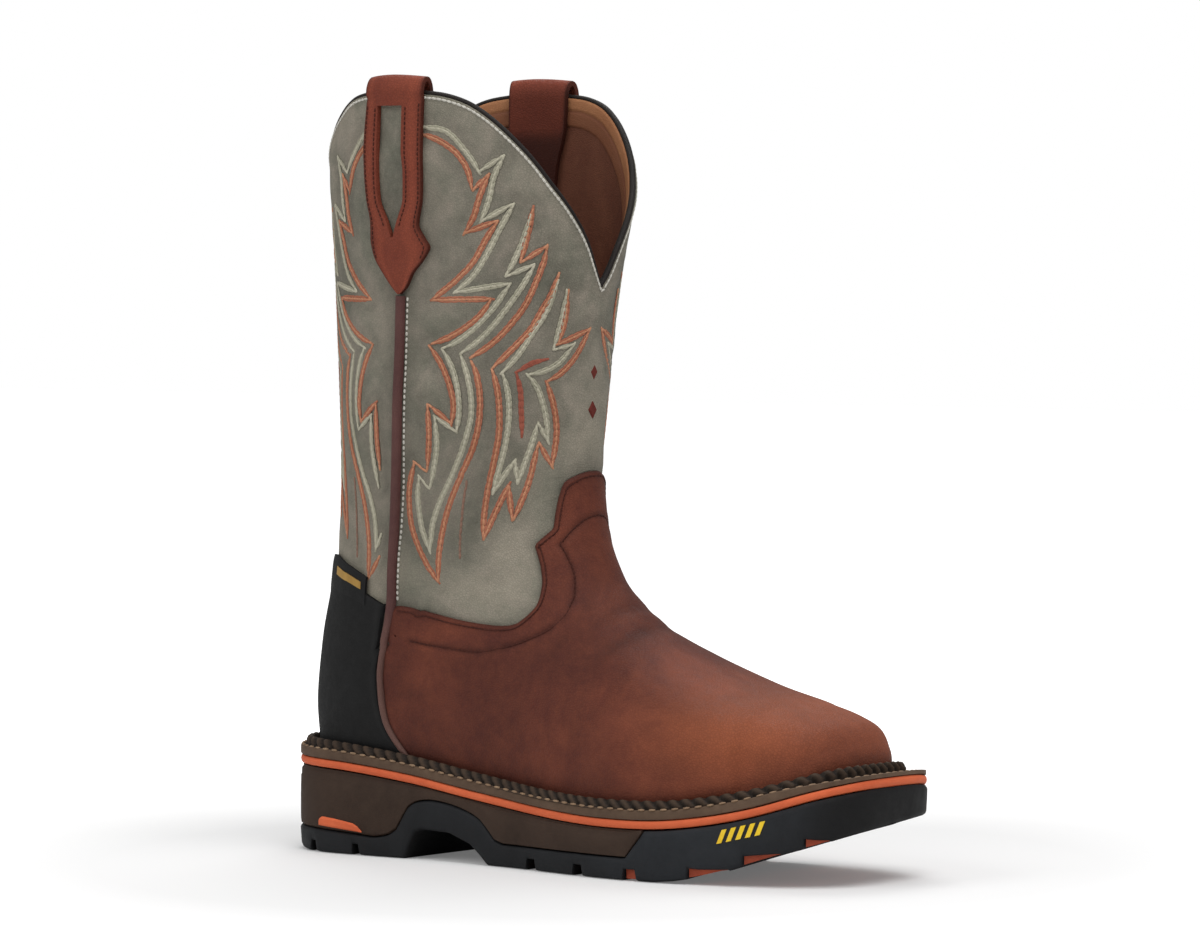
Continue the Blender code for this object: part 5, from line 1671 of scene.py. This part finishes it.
def makeSole():
    overX = list(soleForm["over"][1:, 0])
    breaks = list(soleForm["under"][1:-1, 0]) + overX + [soleForm["capX"] - 1, soleForm["capX"]]
    for rear, front, _ in soleForm["grooves"]:
        breaks += [rear, rear + soleForm["draft"], front - soleForm["draft"], front]
    piece = addLayer("outsole_tread", soleShares(breaks), grooved, outsoleRoof, soleForm["tread"])
    x, y, z = meshPoints(piece).T
    shade = soleForm["sideShade"] * (1 - fadeAt(x, 1.0, *soleForm["paleX"]))
    shade = shade + soleForm["underShade"] * (z < grooved(x, y) + soleForm["underReach"])
    shade = shade + soleForm["toeShade"] * softStep(*soleForm["toeFrom"], x)
    setValues(piece, "shade", np.clip(shade, 0, 1))
    finishPiece(piece, "black_rubber", rubberOf["black"], "outsole")

    shares = soleShares(overX + [soleForm["capX"] - 1.0])
    shares = shares[soleX(shares) <= soleForm["capX"] - 0.9]
    piece = addLayer("midsole_block", shares, blockFloor, blockRoof, soleForm["block"])
    finishPiece(piece, "brown_rubber", rubberOf["brown"], "midsole")

    piece = addLayer("midsole_band", soleShares(), lineFloor, lineRoof, soleForm["band"])
    finishPiece(piece, "orange_rubber", rubberOf["orange"], "midsole_line")


inlayPiece = {"deepIn": 7.0, "inset": 2.2, "above": 0.7, "into": 0.4, "clear": 0.05, "least": 0.2, "steps": 6}


def makeInlays():
    # coloured rubber filling the forward grooves, set in from the tread's edge, in a darker copy of the
    # orange rubber: painted shade down in the grooves
    for number, (rear, front, shallow) in enumerate(soleForm["grooves"][2:], 1):
        start = rear + soleForm["draft"] + inlayPiece["clear"]
        run = front - soleForm["draft"] - inlayPiece["clear"] - start

        def shape(u, v):
            x = start + run * u
            corner = np.round(v * 4).astype(int) % 4
            side = np.where((corner == 0) | (corner == 1), -1.0, 1.0)
            setIn = inlayPiece["deepIn" if number < 3 else "inset"]
            y = side * halfWidth(soleShareAt(x), side, -setIn)
            roof = grooved(x, y) + inlayPiece["into"]
            depth = np.interp(x, (rear, front), (soleForm["grooveDepth"], shallow))
            low = grooved(x, y) - np.maximum(depth - inlayPiece["above"], inlayPiece["least"])
            return np.stack([x, y, np.where((corner == 0) | (corner == 3), roof, low)], 1)

        piece = addSheet("tread_inlay_fill_" + str(number), inlayPiece["steps"], 4, shape, joined=True)
        inEdit(piece, lambda: bpy.ops.mesh.fill_holes(sides=0), faceOut)
        finishPiece(piece, "orange_rubber", rubberOf["rust"], "tread_inlay_" + str(number))


accentPiece = {
    # x, lower edge, upper edge
    "outline": np.array([(30.0, 11.9, 12.6), (31.0, 11.8, 15.0), (32.6, 11.7, 16.0), (40.0, 11.2, 15.5),
                         (51.0, 10.4, 14.0), (53.5, 10.2, 12.8), (56.0, 10.0, 10.6)]),
    "low": 0.2, "proud": 1.1, "grid": (40, 10), "steep": (14, 5),  # how fast ends and edges rise
}


def makeAccent(side):
    def shape(u, v):
        table = accentPiece["outline"]
        x = table[0, 0] + (table[-1, 0] - table[0, 0]) * u
        low = np.interp(x, table[:, 0], table[:, 1])
        high = np.interp(x, table[:, 0], table[:, 2])
        endRise, edgeRise = accentPiece["steep"]
        edge = np.minimum(np.minimum(v, 1 - v) * edgeRise, np.minimum(u, 1 - u) * endRise)
        edge = np.clip(edge, 0, 1)
        grow = accentPiece["low"] + accentPiece["proud"] * np.sqrt(edge)
        y = side * halfWidth(soleShareAt(x), side, grow)
        return np.stack([x, y, low + (high - low) * v], 1)

    name = sideName("heel_accent_", side)
    piece = addSheet(name + "_bar", *accentPiece["grid"], shape)
    if side > 0:
        inEdit(piece, faceAbout)
    finishPiece(piece, "orange_rubber", rubberOf["orange"], name)


dashPiece = {"count": 5, "firstX": 258.0, "step": 4.2, "wide": 2.2, "lean": 2.4, "low": 17.8, "high": 23.2,
             "climb": 0.24, "proud": 0.75, "wall": 0.4}


def makeDashes():
    # plain slanted yellow dashes on the outer side of the toe
    points = []
    faces = []
    for number in range(dashPiece["count"]):
        base = len(points)
        for v in (0.0, 1.0):
            for u in (0.0, 0.5, 1.0):
                along = number * dashPiece["step"] + u * dashPiece["wide"] + v * dashPiece["lean"]
                x = dashPiece["firstX"] + along
                z = dashPiece["low"] + (dashPiece["high"] - dashPiece["low"]) * v + dashPiece["climb"] * along
                y = -float(halfWidth(np.array([soleShareAt(x)]), -1, dashPiece["proud"])[0])
                points.append((x, y, z))
        faces += [[base, base + 1, base + 4, base + 3], [base + 1, base + 2, base + 5, base + 4]]
    piece = addMesh("sole_dashes", points, faces)
    thicken(piece, dashPiece["wall"])
    finishPiece(piece, "black_rubber", rubberOf["yellow"])


makeSole()
for side in (-1, 1):
    makeAccent(side)
makeDashes()
makeInlays()
insoleNode = frame["nodes"]["insole"]
insoleNode.data.materials.clear()
insoleNode.data.materials.append(leatherOf["lining"])
print("sole laid")

# Seams: rows of thread along the edges
seamThread = {
    "vamp": threadKind(2.5, 2.3, 0.8, 0.6, 0.16, 0.03, 11), "vampIn": 2.1, "vampTo": 0.53,
    "side": threadKind(1.8, 2.5, 1.2, 0.9, 0.15, 0.03, 12), "sideOff": 3.3, "sideUp": 0.2, "sideSteps": 260,
    "collar": threadKind(2.7, 2.5, 1.15, 0.8, 0.15, 0.02, 13), "collarDown": 1.35, "collarTo": 0.998,
    "collarSteps": 900,
    "welt": threadKind(3.3, 5.2, 1.5, 1.1, 0.1, 0.03, 14), "weltOut": 7.6, "weltLean": 0.5,
}


def makeSeams():
    kind = seamThread["vamp"]
    rows, rounds = vampLines()
    keep = np.abs(rounds) < seamThread["vampTo"]
    movedRows, movedRounds = beside(rows[keep][::3], rounds[keep][::3], -seamThread["vampIn"])
    stitched = threadRows(movedRows, movedRounds, kind, lift=vampLift)
    stitched += threadRows(*vampInner(), kind, lift=vampLift)
    addThread("vamp_stitches", stitched, kind, threadOf["brown"], "vamp_leather")

    kind = seamThread["side"]
    _, rows, shares = seamPath(seamThread["sideSteps"])
    keep = rows > lastForm["seam"][lastForm["seamCorner"], 1] + seamThread["sideUp"]
    stitched = []
    for side in (-1, 1):
        ahead, turned = beside(rows[keep], side * shares[keep], -side * seamThread["sideOff"])
        stitched += threadRows(ahead, turned, kind, lift=shaftSwell)
    addThread("side_stitches", stitched, kind, threadOf["white"], "shaft_leather")

    kind = seamThread["collar"]
    rounds = np.linspace(-seamThread["collarTo"], seamThread["collarTo"], seamThread["collarSteps"])
    heights = collarHeights(rounds) - seamThread["collarDown"]
    stitched = threadRows(rowsAtHeight(rounds, heights), rounds, kind, lift=shaftSwell)
    addThread("collar_stitches", stitched, kind, threadOf["white"], "shaft_leather")

    kind = seamThread["welt"]
    shares, sides, _, _ = outlineStations(kind["pitch"])
    shares = shares[:-1]
    high = weltPiece["ledge"] * ledgeShare(shares)
    line = weltPoint(shares, sides[:-1], seamThread["weltOut"], high, seamThread["weltLean"])
    up = np.broadcast_to(np.array([0.0, 0.0, 1.0]), line.shape)
    addThread("welt_stitches", [laidStitches(line, up, kind)], kind, threadOf["tan"], "welt_rubber")


makeSeams()
print("seams sewn")

# Studio: pale floor, soft light and the camera at the photograph's angle
studio = {
    "azimuth": 36.84, "distance": 2748.0, "height": 274.0, "aimX": 158.0, "aimZ": 172.0,
    "focusPixels": 6347.0, "imageWidth": 1200, "world": 0.4,
    "floor": 12.0, "floorDown": 0.0002, "floorTint": (228, 228, 228), "floorRough": 0.9,
    "floorGlow": (0.13, 0.8), "glowReach": (0.22, 0.75), "lightsAim": (0.0, 0.0, 0.15),
    # azimuth, elevation, distance, size, power
    "lights": ((62, 62, 1.7, 1.1, 17.0), (-26, 36, 1.8, 1.0, 7.0), (215, 55, 1.7, 1.0, 9.0)),
}


def makeStudio():
    scene = bpy.context.scene
    bpy.ops.object.select_all(action="DESELECT")
    bpy.ops.mesh.primitive_plane_add(size=studio["floor"], location=(0, 0, -studio["floorDown"]))
    floor = bpy.context.object
    floor.name = "studio_floor"
    material, tree, shader, coords = startMaterial("studioFloor")
    shader.inputs["Base Color"].default_value = tint(*studio["floorTint"])
    shader.inputs["Roughness"].default_value = studio["floorRough"]
    # the camera sees floor and surround near white while they light the boot less
    seen = tree.nodes.new("ShaderNodeLightPath").outputs["Is Camera Ray"]
    shader.inputs["Emission Color"].default_value = (1.0, 1.0, 1.0, 1.0)
    away = vectorNode(tree, "LENGTH", {0: coords})["Value"]
    glow = spread(tree, away, *studio["glowReach"], *studio["floorGlow"])
    tree.links.new(mathNode(tree, "MULTIPLY", seen, glow), shader.inputs["Emission Strength"])
    floor.data.materials.append(material)
    world = bpy.data.worlds.new("studio")
    world.use_nodes = True
    tree = world.node_tree
    sky = tree.nodes["Background"]
    sky.inputs["Color"].default_value = (1.0, 1.0, 1.0, 1.0)
    seen = tree.nodes.new("ShaderNodeLightPath").outputs["Is Camera Ray"]
    tree.links.new(mathNode(tree, "MAXIMUM", seen, studio["world"]), sky.inputs["Strength"])
    scene.world = world
    aim = Vector(studio["lightsAim"])
    for number, (azimuth, elevation, distance, size, power) in enumerate(studio["lights"]):
        a = math.radians(azimuth)
        e = math.radians(elevation)
        back = Vector((math.sin(a) * math.cos(e), -math.cos(a) * math.cos(e), math.sin(e)))
        lamp = bpy.data.lights.new("softbox_" + str(number), "AREA")
        lamp.size = size
        lamp.energy = power
        holder = bpy.data.objects.new(lamp.name, lamp)
        holder.location = aim + back * distance
        holder.rotation_euler = (-back).to_track_quat("-Z", "Y").to_euler()
        scene.collection.objects.link(holder)
    camera = bpy.data.cameras.new("photo_camera")
    camera.sensor_width = 36.0
    camera.lens = studio["focusPixels"] / studio["imageWidth"] * camera.sensor_width
    camera.clip_end = 50.0
    holder = bpy.data.objects.new("photo_camera", camera)
    a = math.radians(studio["azimuth"])
    target = Vector(toWorld([studio["aimX"], 0.0, studio["aimZ"]]))
    away = Vector((math.sin(a) * studio["distance"], -math.cos(a) * studio["distance"], 0.0)) * mm
    holder.location = target + away
    holder.location.z = studio["height"] * mm
    holder.rotation_euler = (target - holder.location).to_track_quat("-Z", "Y").to_euler()
    scene.collection.objects.link(holder)
    scene.camera = holder
    scene.view_settings.view_transform = "Standard"


makeStudio()
print("studio set")
